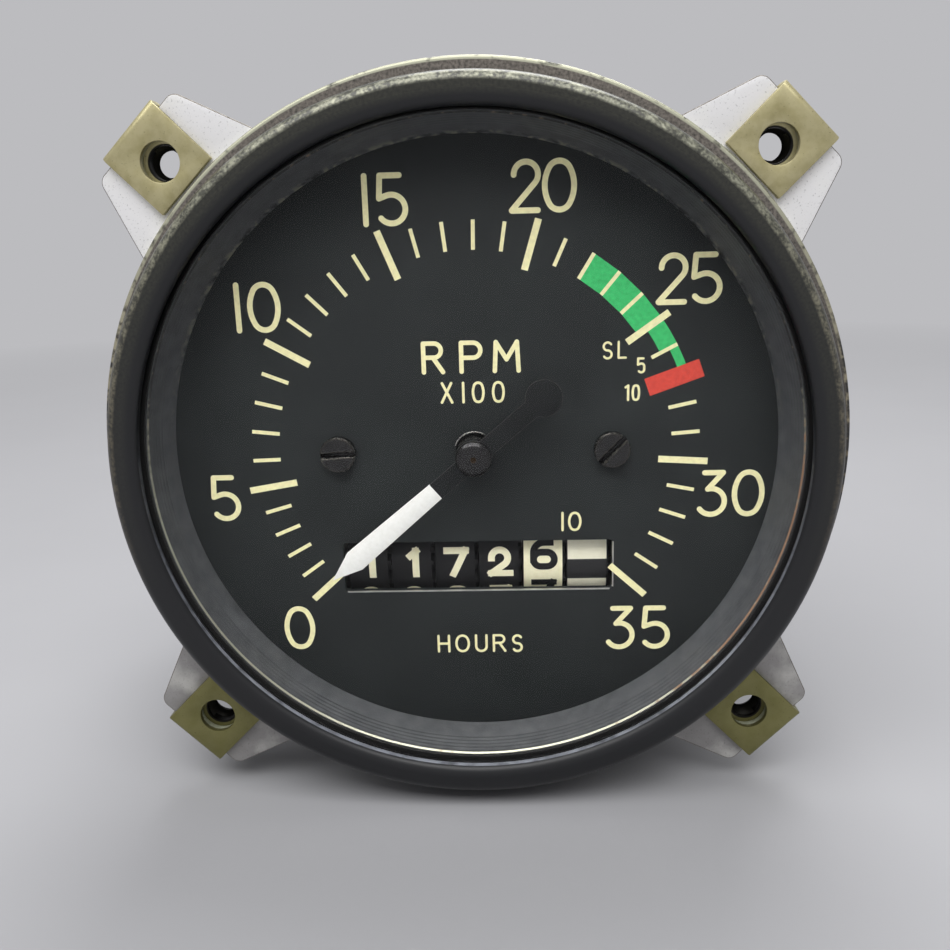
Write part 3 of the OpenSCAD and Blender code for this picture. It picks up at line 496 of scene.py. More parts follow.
taper = [(SPACER_BACK_R, SPACER_BACK)]
for i in range(4 * TOOL_STEPS + 1):
    share = PLAIN_SHARE + (1 - PLAIN_SHARE) * i / (4 * TOOL_STEPS)
    sunk = TOOL_STEP_DEPTH if i % 4 in (1, 2) else 0.0
    taper.append((SPACER_BACK_R + (SPACER_FRONT_R - SPACER_BACK_R) * share + sunk,
                  SPACER_BACK + (SPACER_FRONT + CHAMFER - SPACER_BACK) * share))
bm = turned(taper + [(taper[-1][0] + CHAMFER, SPACER_FRONT), (GLASS_R, SPACER_FRONT), (GLASS_R, SPACER_BACK)],
            SPACER_AROUND)
give_finish(bm, 1, lambda middle: SPACER_FRONT + NEAR < middle.y < SPACER_FRONT + CHAMFER
            and from_axis(middle) < GLASS_R - CHAMFER)
add_piece("stepped_spacer", bm, [grey_paint(), rusty_edge()], nodes=["spacer_ring"], smooth=20)

# %% Gasket
def moulded(name, colour, speck, rough):
    """Moulded stuff, a little uneven."""
    f = Finish(name)
    cloud = f.grain(1.5, 5.0)
    return f.done({"Base Color": f.coats(colour, (cloud, speck)),
                   "Roughness": f.spread(cloud, 0.3, 0.7, rough - 0.06, rough + 0.08),
                   "Normal": f.bump(f.grain(0.25, 3.0), 0.006)})


GASKET_R = SPACER_FRONT_R + CHAMFER + 0.1
bm = turned(rectangle(GASKET_R, GLASS_R, GLASS_BACK, SPACER_FRONT))
soften(bm, sharp_edges(bm), FINE_EDGE)
rubber = moulded("gasket_rubber", rgb(24, 24, 25), rgb(40, 39, 38), 0.74)
add_piece("gasket_ring", bm, [rubber], nodes=["glass_gasket"])

# %% [markdown]
# ## Plates with holes
# The dial, the ears and the pointer are cut from sheet. A sheet is drawn as closed outlines, filled between them, and
# pulled back to its thickness. Filling finds the holes by itself.

# %% Plate helpers
FACING = Matrix.Rotation(pi / 2, 4, "X")


def outline(bm, points):
    """A closed line through points of the drawing."""
    closed_line(bm, [(x, 0, z) for x, z in points])


def round_outline(bm, r, x=0.0, z=0.0, steps=64):
    """A circle in the drawing."""
    bmesh.ops.create_circle(bm, segments=steps, radius=r, matrix=Matrix.Translation((x, 0, z)) @ FACING)


def only(kind, geom):
    """The corners, edges or faces in a list of all three."""
    return [g for g in geom if isinstance(g, kind)]


def each_once(items):
    """The items in their order, without repeats."""
    return list(dict.fromkeys(items))


def pull(bm, faces, depth):
    """Draw faces out along the depth, and return what has grown."""
    grown = bmesh.ops.extrude_face_region(bm, geom=faces)["geom"]
    bmesh.ops.translate(bm, vec=(0, depth, 0), verts=only(BMVert, grown))
    return grown


def thicken(bm, depth):
    """Pull flat faces back into a closed plate."""
    pull(bm, bm.faces[:], depth)
    clean(bm)


def fill_plate(bm, front, back):
    """Fill the drawn outlines and give the sheet its thickness."""
    bmesh.ops.triangle_fill(bm, edges=bm.edges[:], use_beauty=True, normal=(0, -1, 0))
    bmesh.ops.translate(bm, vec=(0, front, 0), verts=bm.verts)
    thicken(bm, back - front)


def rise(edge):
    """How far an edge runs along the depth."""
    return abs(edge.verts[0].co.y - edge.verts[1].co.y)


print("plates are filled in the plane of", FACING.to_3x3() @ Vector((0, 0, 1)))

# %% [markdown]
# ## Dial
# The dial is a matt black aluminium disc with a window for the drums, a hole for the pointer's hub and two screw
# holes. Its window was cut after painting, and its broken edge below and to the right, which faces the light, shows
# bare metal: that bare metal is partly a painted highlight, and the bevel there gets the second finish.

# %% Dial finishes
def matt_black(name, dark, light):
    """Matt black paint with fine dust in it."""
    f = Finish(name)
    dust = f.spread(f.grain(0.12, 2.0), 0.64, 0.8, 0.0, 0.45)
    cloud = f.grain(9.0, 4.0)
    return f.done({"Base Color": f.coats(dark, (cloud, light), (dust, rgb(70, 69, 66))),
                   "Roughness": f.spread(cloud, 0.3, 0.7, 0.6, 0.72), "Specular IOR Level": 0.2,
                   "Normal": f.bump(f.grain(0.3, 3.0), 0.006)})


def bare_metal(name, colour, rough, scratch_mm=1.2):
    """Bare metal, a little uneven in colour and shine."""
    f = Finish(name)
    tarnish = f.grain(scratch_mm, 6.0)
    darker = (colour[0] * 0.72, colour[1] * 0.7, colour[2] * 0.68, 1.0)
    return f.done({"Base Color": f.coats(colour, (f.spread(tarnish, 0.3, 0.7), darker)), "Metallic": 1.0,
                   "Roughness": f.spread(tarnish, 0.3, 0.7, rough - 0.07, rough + 0.1),
                   "Normal": f.bump(f.grain(scratch_mm / 6, 3.0), 0.004)})


dial_black = matt_black("dial_black", rgb(24, 26, 27), rgb(45, 49, 49))
aluminium = bare_metal("bare_aluminium", rgb(214, 213, 208), 0.35)
print("finishes:", dial_black.name, aluminium.name)

# %% Dial
DIAL_R = outer_r("dial")
DIAL_FRONT, DIAL_BACK = depths("dial")
WINDOW_HALF = 15.45
WINDOW_LOW, WINDOW_HIGH = -16.5, -10.6
WINDOW_ROUND, WINDOW_RIM = 0.35, 0.16
HUB_HOLE_R = 2.2
DIAL_SCREW_X = 15.25
DIAL_SCREW_HOLE_R = 1.1

bm = bmesh.new()
round_outline(bm, DIAL_R, steps=AROUND)
outline(bm, rectangle(-WINDOW_HALF, WINDOW_HALF, WINDOW_LOW, WINDOW_HIGH))
round_outline(bm, HUB_HOLE_R)
for side in (-1, 1):
    round_outline(bm, DIAL_SCREW_HOLE_R, side * DIAL_SCREW_X, steps=32)
fill_plate(bm, DIAL_FRONT, DIAL_BACK)


def on_window(v):
    """Whether a corner lies on the window's edge."""
    x, z = abs(v.co.x), v.co.z
    return (abs(x - WINDOW_HALF) < NEAR and WINDOW_LOW - NEAR < z < WINDOW_HIGH + NEAR
            or min(abs(z - WINDOW_LOW), abs(z - WINDOW_HIGH)) < NEAR and x < WINDOW_HALF + NEAR)


soften(bm, [e for e in sharp_edges(bm) if all(on_window(v) for v in e.verts) and rise(e) > 0.1], WINDOW_ROUND, 4)
window_rim = [e for e in sharp_edges(bm) if all(on_window(v) and v.co.y < DIAL_FRONT + NEAR for v in e.verts)]
# Bare metal only on the edges that face the light: partly a painted highlight.
bright_rim = [e for e in window_rim if max(v.co.z for v in e.verts) < WINDOW_LOW + WINDOW_ROUND + NEAR
              or min(v.co.x for v in e.verts) > WINDOW_HALF - WINDOW_ROUND - NEAR]
soften(bm, bright_rim, WINDOW_RIM, 2, 1)
soften(bm, edges_at(bm, DIAL_R, DIAL_FRONT), FINE_EDGE, 2)
add_piece("dial_plate", bm, [dial_black, aluminium], nodes=["dial"])

# %% [markdown]
# ## A pen for the lettering
# The dial's scale and words were engraved by a round cutter led along a template, so every stroke has one width and
# round ends. The pen here does the same. Its nib is an edge as wide as the stroke: a straight run extrudes it, a bend
# spins it about the bend's centre, and half a turn at each end makes the round. A stroke is a start, a heading in
# degrees, and moves: (length,) runs straight on, and (radius, degrees) bends, to the left where positive.

# %% Pen
PEN_TURN = Vector((0, -1, 0))
BEND_STEP = 9


def turning(angle):
    """A turn in the drawing, to the left where positive, in degrees."""
    return Matrix.Rotation(radians(angle), 3, PEN_TURN)


def swing(bm, edges, centre, angle):
    """Spin edges about a point of the drawing, and return the last ones."""
    corners = each_once(v for e in edges for v in e.verts)
    last = bmesh.ops.spin(bm, geom=corners + edges, cent=centre, axis=PEN_TURN, angle=radians(angle),
                          steps=max(2, ceil(abs(angle) / BEND_STEP)))["geom_last"]
    return only(BMEdge, last)


def round_end(bm, at, arm):
    """Half a disc from the tip of an arm, over the end of a stroke, to the other side."""
    edge = bm.edges.new((bm.verts.new(at), bm.verts.new(at + arm)))
    swing(bm, [edge], at, 180)


def draw(bm, stroke, width, lift=0.0, square=False, run_step=100.0):
    """Draw one stroke in the plane of the dial, raised towards the reader by lift."""
    (x, z), heading, moves = stroke
    angle = radians(heading)
    begin = at = Vector((x, -lift, z))
    first_left = left = Vector((-sin(angle), 0, cos(angle))) * width / 2
    nib = [bm.verts.new(at + left), bm.verts.new(at), bm.verts.new(at - left)]
    edges = [bm.edges.new(nib[:2]), bm.edges.new(nib[1:])]
    for move in moves:
        if len(move) == 1:
            parts = ceil(move[0] / run_step)
            ahead = Vector((left.z, 0, -left.x)).normalized() * move[0]
            for _ in range(parts):
                grown = bmesh.ops.extrude_edge_only(bm, edges=edges)["geom"]
                moved = only(BMVert, grown)
                bmesh.ops.translate(bm, vec=ahead / parts, verts=moved)
                edges = [e for e in only(BMEdge, grown) if set(e.verts) <= set(moved)]
            at = at + ahead
        else:
            bend_r, bend = move
            centre = at + left.normalized() * bend_r * (1 if bend > 0 else -1)
            edges = swing(bm, edges, centre, bend)
            at = centre + turning(bend) @ (at - centre)
            left = turning(bend) @ left
    if not square and (at - begin).length > 0.001:
        round_end(bm, begin, first_left)
        round_end(bm, at, -left)


def line(start, end):
    """A straight stroke between two points."""
    return start, degrees(atan2(end[1] - start[1], end[0] - start[0])), [(dist(start, end),)]


print("a bend of 90 degrees takes", ceil(90 / BEND_STEP), "steps")

# %% [markdown]
# ## Figures and letters
# Each sign is drawn in a box one unit high, along the middle of its strokes. An oval is four bends that meet
# smoothly: small ones at the ends and long ones at the sides, whose radius follows from the width. The small o is a
# narrow nought, and the small i, c and s are a condensed one, nought and five.

# %% Signs
def oval(width, end_r):
    """A closed oval one unit high, from two small bends and two long ones."""
    half = width / 2
    side_r = ((0.5 - end_r) ** 2 + half ** 2 - end_r ** 2) / (2 * (half - end_r))
    lean = degrees(atan2(0.5 - end_r, side_r - half))
    end = (end_r, 180 - 2 * lean)
    return (width, 0.5), 90, [(side_r, lean), end, (side_r, 2 * lean), end, (side_r, lean)]


def lines(*points):
    """Straight strokes from point to point."""
    return [line(*pair) for pair in zip(points, points[1:])]


STEM = line((0, 0), (0, 1))
SIGNS = {
    "0": (0.63, [oval(0.63, 0.25)]),
    "o": (0.54, [oval(0.54, 0.22)]),
    "1": (0.0, [STEM]),
    "i": (0.17, lines((0.17, 0), (0.17, 1), (0, 0.88))),
    "c": (0.44, [oval(0.44, 0.18)]),
    "s": (0.47, lines((0.4, 1), (0.03, 1), (0.02, 0.56))
          + [((0.02, 0.56), 19, [(0.182,), (0.21, -109), (0.21,), (0.21, -141)])]),
    "2": (0.57, [((0.05, 0.74), 90, [(0.26, -222), (0.755,)]), line((0.005, 0), (0.56, 0))]),
    "3": (0.59, lines((0.12, 1), (0.54, 1), (0.2, 0.61)) + [((0.2, 0.61), 15, [(0.31, -250)])]),
    "5": (0.56, lines((0.45, 1), (0.03, 1), (0, 0.53)) + [((0, 0.53), 19, [(0.175,), (0.3, -250)])]),
    "R": (0.67, [STEM, ((0, 1), 0, [(0.37,), (0.245, -180), (0.37,)]), line((0.33, 0.51), (0.67, 0))]),
    "P": (0.67, [STEM, ((0, 1), 0, [(0.41,), (0.26, -180), (0.41,)])]),
    "M": (0.83, lines((0, 0), (0.05, 1), (0.415, 0.4), (0.78, 1), (0.83, 0))),
    "X": (0.62, [line((0, 0), (0.5, 1)), line((0.03, 1), (0.53, 0))]),
    "H": (0.62, [STEM, line((0.62, 0), (0.62, 1)), line((0, 0.5), (0.62, 0.5))]),
    "O": (0.74, [oval(0.74, 0.33)]),
    "U": (0.62, [((0, 1), -90, [(0.69,), (0.31, 180), (0.69,)])]),
    "S": (0.54, [((0.505, 0.855), 122, [(0.25, 238), (0.25, -238)])]),
    "L": (0.45, lines((0, 1), (0, 0), (0.45, 0))),
}
print(len(SIGNS), "signs:", "".join(SIGNS))

# %% [markdown]
# ## Paint on the dial
# Paint stands a few hundredths of a millimetre proud. Every stroke becomes a thin closed slab, sunk a little into the
# dial. Where strokes cross, each lies slightly higher than the last, so that no two faces share a plane.

# %% Painted words
PAINT_PROUD = 0.03
PAINT_SUNK = 0.03
STROKE_LIFT = 0.004
# The outer height and the stroke of each size of lettering, and its words with their middle and their width.
WORDS = {
    (5.45, 0.6): [("0", -21.16, -21.01, 3.6), ("5", -28.49, -4.99, 3.4), ("10", -23.03, 16.35, 5.0),
                  ("15", -8.7, 27.16, 4.8), ("20", 7.81, 28.13, 7.1), ("25", 23.24, 18.33, 7.0),
                  ("30", 28.55, -5.38, 7.6), ("35", 18.49, -21.47, 7.55)],
    (3.62, 0.49): [("R", -4.26, 10.5, 0), ("P", -0.13, 10.5, 0), ("M", 3.75, 10.5, 0)],
    (2.42, 0.29): [("X1oo", -0.04, 6.62, 7.1)],
    (2.26, 0.28): [("HOURS", 0.07, -23.24, 10.05)],
    (2.3, 0.28): [("10", 10.8, -8.39, 2.3)],
    (1.96, 0.24): [("SL", 15.42, 10.95, 2.7)],
    (1.76, 0.25): [("s", 18.31, 9.21, 0)],
    (1.84, 0.26): [("ic", 17.43, 6.23, 1.72)],
}


def scaled(moves, tall):
    """The moves of a stroke for a sign of this height."""
    return [(move[0] * tall, *move[1:]) for move in moves]


def draw_words(bm, text, centre, height, width, stroke):
    """Draw words of a given outer height and width about a centre, with even gaps."""
    tall = height - stroke
    wide = [SIGNS[sign][0] * tall + stroke for sign in text]
    gap = (width - sum(wide)) / max(1, len(text) - 1)
    x = centre[0] - (sum(wide) + gap * (len(text) - 1)) / 2 + stroke / 2
    for sign, sign_wide in zip(text, wide):
        for level, (start, heading, moves) in enumerate(SIGNS[sign][1]):
            place = (x + start[0] * tall, centre[1] - tall / 2 + start[1] * tall)
            draw(bm, (place, heading, scaled(moves, tall)), stroke, level * STROKE_LIFT)
        x += sign_wide + gap


def lay_paint(bm, level=0.0):
    """Turn flat strokes into slabs of paint on the dial."""
    clean(bm)
    bmesh.ops.translate(bm, vec=(0, DIAL_FRONT - PAINT_PROUD - level, 0), verts=bm.verts)
    thicken(bm, PAINT_PROUD + PAINT_SUNK)


def paint(name, colour, dull):
    """Flat paint, a little uneven and dulled by dust."""
    f = Finish(name)
    worn = f.spread(f.grain(0.5, 5.0), 0.35, 0.75)
    return f.done({"Base Color": f.coats(colour, (worn, dull)), "Roughness": 0.6,
                   "Normal": f.bump(f.grain(0.15, 3.0), 0.006)})


cream = paint("cream_paint", rgb(248, 242, 188), rgb(230, 223, 172))
bm = bmesh.new()
for (height, stroke), words in WORDS.items():
    for text, x, z, width in words:
        draw_words(bm, text, (x, z), height, width, stroke)
lay_paint(bm)
add_piece("dial_lettering", bm, [cream])

# %% [markdown]
# ## Scale
# The pointer moves a little less from 0 to 5 than for the later fives, so the angle of a mark is worked out in two
# parts. Long marks stand at every fifth line. A green arc steps down in width as the allowed speed falls with height,
# and a red bar ends it.

# %% Scale
ZERO_ANGLE = 222.2
FIRST_STEP, LATER_STEP = 6.6, 7.71
SHORT_MARK = (21.86, 24.95, 0.41)
LONG_MARK = (20.46, 25.92, 0.74)
RED_BAR = (20.2, 26.4, 2.0)
RED_AT = 27
GREEN_STEPS = ((22, 25, 0.0), (25, 26, 1.06), (26, 27, 2.1))


def mark_angle(value):
    """Where a value lies on the scale, in degrees from the x axis."""
    return ZERO_ANGLE - min(value, 5) * FIRST_STEP - max(value - 5, 0) * LATER_STEP


def on_circle(r, angle):
    """A point of the drawing at a radius and an angle in degrees."""
    return r * cos(radians(angle)), r * sin(radians(angle))


def draw_mark(bm, value, mark):
    """A straight mark with square ends, pointing at the dial's centre."""
    inner, outer, width = mark
    draw(bm, line(*[on_circle(r, mark_angle(value)) for r in (inner, outer)]), width, square=True)


def draw_arc(bm, first, last, inner, outer):
    """A band of the scale between two values."""
    angle = mark_angle(first)
    r = (inner + outer) / 2
    draw(bm, (on_circle(r, angle), angle - 90, [(r, mark_angle(last) - angle)]), outer - inner, square=True)


bm = bmesh.new()
for value in range(36):
    if value != RED_AT:
        draw_mark(bm, value, SHORT_MARK if value % 5 else LONG_MARK)
lay_paint(bm, 2 * STROKE_LIFT)
add_piece("scale_marks", bm, [cream])
bm = bmesh.new()
for first, last, narrower in GREEN_STEPS:
    draw_arc(bm, first, last, SHORT_MARK[0] + narrower, SHORT_MARK[1])
lay_paint(bm)
add_piece("green_arc", bm, [paint("green_paint", rgb(58, 196, 110), rgb(44, 172, 92))])
bm = bmesh.new()
draw_mark(bm, RED_AT, RED_BAR)
lay_paint(bm, STROKE_LIFT)
add_piece("red_bar", bm, [paint("red_paint", rgb(218, 72, 56), rgb(196, 58, 46))])

# %% [markdown]
# ## Pointer
# The pointer is stamped from thin sheet. Its blade is painted white, and the hub end and the tail with its balance
# disc are matt black with rubbed edges. One plate is drawn, its front edges are broken, and it is cut across where the
# white begins, so that each side takes its own finish. Then it is turned to the zero mark, or a hair past it.

# %% Pointer
POINTER_FRONT, POINTER_BACK = depths("pointer")
TIP, BLADE_SHOULDER, WHITE_FROM, TAIL = 21.1, 17.7, 5.5, 10.0
REST_OFF = 1.9
SHOULDER_HALF, ROOT_HALF, TAIL_R = 1.25, 1.0, 2.0
HUB_R = 2.0


def arc_points(centre_x, r, first, last, steps=24):
    """Points along an arc of the drawing."""
    angles = [radians(first + (last - first) * i / steps) for i in range(steps + 1)]
    return [(centre_x + r * cos(a), r * sin(a)) for a in angles]


def root_at(r):
    """The angle at which the pointer's root meets a circle of this radius, in degrees."""
    return degrees(atan2(ROOT_HALF, sqrt(r ** 2 - ROOT_HALF ** 2)))


def cut(bm, place, across):
    """Cut every face along a plane, and keep both sides."""
    bmesh.ops.bisect_plane(bm, geom=bm.verts[:] + bm.edges[:] + bm.faces[:], plane_co=place, plane_no=across)


bm = bmesh.new()
tail_root, hub_root = root_at(TAIL_R), root_at(HUB_R)
outline(bm, arc_points(-TAIL, TAIL_R, tail_root, 360 - tail_root, 48)
        + arc_points(0, HUB_R, 180 + hub_root, 360 - hub_root)
        + [(WHITE_FROM, -ROOT_HALF), (BLADE_SHOULDER, -SHOULDER_HALF), (TIP, 0), (BLADE_SHOULDER, SHOULDER_HALF),
           (WHITE_FROM, ROOT_HALF)]
        + arc_points(0, HUB_R, hub_root, 180 - hub_root))
fill_plate(bm, POINTER_FRONT, POINTER_BACK)
rim = [e for e in sharp_edges(bm, 60) if all(v.co.y < POINTER_FRONT + NEAR for v in e.verts)]
soften(bm, rim, FINE_EDGE, 2, 2)
cut(bm, (WHITE_FROM, 0, 0), (1, 0, 0))
give_finish(bm, 1, lambda middle: middle.x > WHITE_FROM)
bmesh.ops.rotate(bm, verts=bm.verts, matrix=turning(ZERO_ANGLE - REST_OFF))
pointer_black = matt_black("pointer_black", rgb(18, 19, 20), rgb(30, 32, 33))
rubbed_edge = bare_metal("rubbed_edge", rgb(158, 157, 152), 0.3, 0.4)
blade_white = paint("blade_white", rgb(240, 240, 235), rgb(232, 232, 226))
add_piece("pointer_blade", bm, [pointer_black, blade_white, rubbed_edge], "pointer", ["pointer"])

# %% [markdown]
# ## Pointer hub
# A black boss with a coned shoulder carries the pointer, and the end of the staff shows as a dot in its middle. The
# cone is turned smooth, so a broad bright arc lies on its upper side. A thin eyelet lines the hole in the dial. Its
# dark floor and the lower part of its brim are painted shade, and the bare metal on top of its brim is a painted
# highlight.

# %% Pointer hub
HUB_FRONT, HUB_BACK = depths("pointer_hub")
BOSS_R = HUB_R - 0.03
CONE_WIDE, CONE_DEEP, CONE_ROUND = 0.5, 0.36, 0.15
DOT_R, DOT_DEPTH, DOT_EDGE = 0.3, 0.12, 0.05
STAFF_R = 0.78
SMALL_AROUND = 96


def black_metal():
    """Glossy blackened metal."""
    f = Finish("black_metal")
    cloud = f.grain(0.8, 4.0)
    return f.done({"Base Color": f.coats(rgb(46, 46, 48), (cloud, rgb(60, 59, 58))), "Metallic": 0.8,
                   "Roughness": f.spread(cloud, 0.3, 0.7, 0.15, 0.22)})


blackened = black_metal()
staff_end = bare_metal("staff_end", rgb(70, 58, 46), 0.4, 0.3)
dot_floor, cone_back, staff_front = HUB_FRONT + DOT_DEPTH, HUB_FRONT + CONE_DEEP, POINTER_BACK + 0.2
bm = turned([(0, dot_floor), (DOT_R, dot_floor), (DOT_R, HUB_FRONT), (BOSS_R - CONE_WIDE, HUB_FRONT),
             (BOSS_R, cone_back), (BOSS_R, HUB_BACK), (STAFF_R, HUB_BACK), (STAFF_R, staff_front), (0, staff_front)],
            SMALL_AROUND)
soften(bm, edges_at(bm, BOSS_R - CONE_WIDE, HUB_FRONT) + edges_at(bm, BOSS_R, cone_back), CONE_ROUND, 4)
soften(bm, sharp_edges(bm), DOT_EDGE)
give_finish(bm, 1, lambda middle: from_axis(middle) < DOT_R + DOT_EDGE / 2 and middle.y < dot_floor + DOT_DEPTH)
add_piece("hub_and_rivet", bm, [blackened, staff_end], "pointer", ["pointer_hub"])

# %% Eyelet
EYELET_IN_R, EYELET_R, EYELET_PROUD, EYELET_ROUND = 2.12, 2.3, 0.3, 0.07
CUP_R, CUP_HOLE_R, CUP_DEPTH, CUP_FLOOR = 2.17, 1.0, 0.6, 0.15
HIGHLIGHT_ABOVE = 0.75

brim = DIAL_FRONT - EYELET_PROUD
cup_back = DIAL_FRONT + CUP_DEPTH
bm = turned([(EYELET_IN_R, brim), (EYELET_R, brim), (EYELET_R, DIAL_FRONT), (CUP_R, DIAL_FRONT), (CUP_R, cup_back),
             (CUP_HOLE_R, cup_back), (CUP_HOLE_R, cup_back - CUP_FLOOR), (EYELET_IN_R, cup_back - CUP_FLOOR)],
            SMALL_AROUND)
for r in (EYELET_IN_R, EYELET_R):
    soften(bm, edges_at(bm, r, brim), EYELET_ROUND)
# Painted shade: the cup and the lower brim take the dial's black. Painted highlight: bare metal only on the upper
# brim.
give_finish(bm, 1, lambda middle: middle.y > DIAL_FRONT - EYELET_PROUD / 2 or middle.z < HIGHLIGHT_ABOVE)
eyelet_metal = bare_metal("eyelet_metal", rgb(204, 204, 199), 0.22, 0.4)
add_piece("hub_eyelet", bm, [eyelet_metal, dial_black])

# %% [markdown]
# ## Drums of the hour meter
# Four black drums count hours, a white one tenths, and a striped one runs all the time. A thin printed sleeve on each
# drum carries the ten figures. The figures are drawn flat with the pen, cut square as stencilled ones are, and then
# wrapped round the drum: the height on paper becomes an angle. The next figure always comes from below.

# %% Drum figures
DRUM_R, DRUM_PITCH = 8.0, 5.1
DRUM_AXIS = Vector((0, 11.3, -13.6))
DRUM_AROUND = 120
SLEEVE_T, SLEEVE_SUNK, SLEEVE_WIDE, SLEEVE_OFF = 0.02, 0.3, 4.5, -0.05
FIGURE_OFF, FIGURE_TALL, FIGURE_STROKE = 0.1, 3.67, 0.8
FIGURE_RUN = 0.4
HALF_STROKE = FIGURE_STROKE / 2 / (FIGURE_TALL - FIGURE_STROKE)


def lying_oval(x, z, width, height):
    """A closed ring with straight top and bottom and round ends."""
    r = height / 2
    return (x + r, z), 0, [(width - height,), (r, 180), (width - height,), (r, 180)]


SIX = [(0.26,), (0.42, 90), (0.28,), (0.3, 90), (0.24,), (0.3, 180), (0.24,), (0.3, 90)]
FIGURES = {
    "0": (0.78, [oval(0.78, 0.36)]),
    "1": (0.24, [line((0.24, 0), (0.24, 1)), line((0.26, 1), (0.02, 0.8))]),
    "2": (0.8, [((0.05, 0.67), 90, [(0.33, -233), (0.675,)]), line((0.04, 0), (0.8, 0))]),
    "3": (0.74, lines((0.06, 1), (0.7, 1), (0.36, 0.64)) + [((0.34, 0.635), 10, [(0.32, -245)])]),
    "4": (0.8, [line((0.58, 0), (0.58, 1)), line((0.56, 1), (0.03, 0.3)), line((0.04, 0.27), (0.8, 0.27))]),
    "5": (0.7, lines((0.66, 1), (0.1, 1), (0.06, 0.56)) + [((0.06, 0.56), 16, [(0.2,), (0.31, -245)])]),
    "6": (0.84, [((0.68, 1), 180, SIX)]),
    "7": (0.84, [line((0.04, 1), (0.8, 1)), line((0.78, 1), (0.3, 0))]),
    "8": (0.78, [lying_oval(0.07, 0.5, 0.64, 0.5), lying_oval(0, 0, 0.78, 0.5)]),
    "9": (0.84, [((0.16, 0), 0, SIX)]),
}


def wrap(bm):
    """Roll a flat drawing round the counter's axis: its height becomes an angle, its lift a larger radius."""
    for v in bm.verts:
        r = DRUM_R + SLEEVE_T - v.co.y
        angle = v.co.z / DRUM_R
        v.co = (v.co.x, DRUM_AXIS.y - r * cos(angle), DRUM_AXIS.z + r * sin(angle))


def sleeve(x, finish, name, body):
    """A thin printed band round one drum."""
    front = DRUM_AXIS.y - DRUM_R
    profile = rectangle(x - SLEEVE_WIDE / 2, x + SLEEVE_WIDE / 2, front - SLEEVE_T, front + SLEEVE_SUNK)
    bm = spun([(along, y, DRUM_AXIS.z) for along, y in profile], DRUM_AROUND, DRUM_AXIS, (1, 0, 0))
    add_piece(name, bm, [finish], body)


def drum_figures(x, shown, finish, name, body):
    """Ten figures round a drum, with the shown one at the front."""
    bm = bmesh.new()
    tall = FIGURE_TALL - FIGURE_STROKE
    pitch = 2 * pi * DRUM_R / 10
    for figure, (width, strokes) in FIGURES.items():
        turn = (shown - int(figure) + 5) % 10 - 5
        for level, (start, heading, moves) in enumerate(strokes):
            closed = sum(move[1] for move in moves if len(move) == 2) == 360
            over = 0.0 if closed else HALF_STROKE
            begin = (start[0] - over * cos(radians(heading)), start[1] - over * sin(radians(heading)))
            place = (x + (begin[0] - width / 2) * tall, turn * pitch + (begin[1] - 0.5) * tall)
            moves = moves if closed else [(over,)] + moves + [(over,)]
            draw(bm, (place, heading, scaled(moves, tall)), FIGURE_STROKE, level * STROKE_LIFT, True, FIGURE_RUN)
    clean(bm)
    bmesh.ops.translate(bm, vec=(0, -PAINT_PROUD, 0), verts=bm.verts)
    thicken(bm, PAINT_PROUD + SLEEVE_T / 2)
    wrap(bm)
    clean(bm)
    add_piece(name, bm, [finish], body)


drum_black = matt_black("drum_black", rgb(22, 22, 24), rgb(34, 34, 35))
drum_cream = paint("drum_cream", rgb(255, 250, 214), rgb(248, 242, 202))
SHOWN = {"number_drum_1": 1, "number_drum_2": 1, "number_drum_3": 7, "number_drum_4": 2, "tenths_drum": 6.16}
for i, (drum, shown) in enumerate(SHOWN.items()):
    x = (i - 2.5) * DRUM_PITCH + SLEEVE_OFF
    ground, ink = (drum_cream, drum_black) if drum == "tenths_drum" else (drum_black, drum_cream)
    sleeve(x, ground, drum + "_sleeve", drum)
    drum_figures(x + FIGURE_OFF, shown, ink, drum + "_figures", drum)

# %% Striped drum
STRIPES = 10
STRIPE_PHASE = 0.958


def striped_paint():
    """Black and cream bands along the drum, by the angle about the counter's axis."""
    f = Finish("drum_striped")
    up = f.maths("SUBTRACT", f.axis("Z"), DRUM_AXIS.z * MM)
    front = f.maths("SUBTRACT", DRUM_AXIS.y * MM, f.axis("Y"))
    turns = f.maths("DIVIDE", f.maths("ARCTAN2", up, front), 2 * pi / STRIPES)
    share = f.maths("FRACT", f.maths("ADD", turns, STRIPES + STRIPE_PHASE))
    ink = f.spread(share, 0.495, 0.505)
    mottle = f.grain(0.5, 4.0)
    colour = f.coats(f.coats(rgb(253, 250, 226), (mottle, rgb(242, 238, 210))),
                     (ink, f.coats(rgb(24, 24, 26), (mottle, rgb(38, 38, 39)))))
    return f.done({"Base Color": colour, "Roughness": 0.55, "Normal": f.bump(ink, 0.01)})


sleeve(2.5 * DRUM_PITCH + SLEEVE_OFF, striped_paint(), "running_drum_sleeve", "running_drum")

# %% [markdown]
# ## Ears
# The mounting plate is cut from zinc plated sheet: a ring with four flared ears. The outline runs along each ear's
# flank to the ring and round it to the next ear. The plating is dull and speckled, with a whitish bloom, and it is
# painted paler towards the upper ears as a painted highlight of the light from above. The cut faces are a pale olive,
# and their broken edges have gone dark, so each takes a finish of its own.

# %% Ears
EAR_FRONT, EAR_BACK = depths("mounting_plate")
PLATE_R = 40.2
EAR_END, EAR_END_HALF = 48.1, 6.0
EAR_FLARE = radians(20)
EAR_ROUND = 0.8
EAR_ANGLES = (45, 135, 225, 315)
BOLT_R = 44.45
EAR_HOLE_R = 2.35


def on_ear(u, w, angle):
    """A point u along an ear and w across it, for the ear at this angle."""
    a = radians(angle)
    return u * cos(a) - w * sin(a), u * sin(a) + w * cos(a)


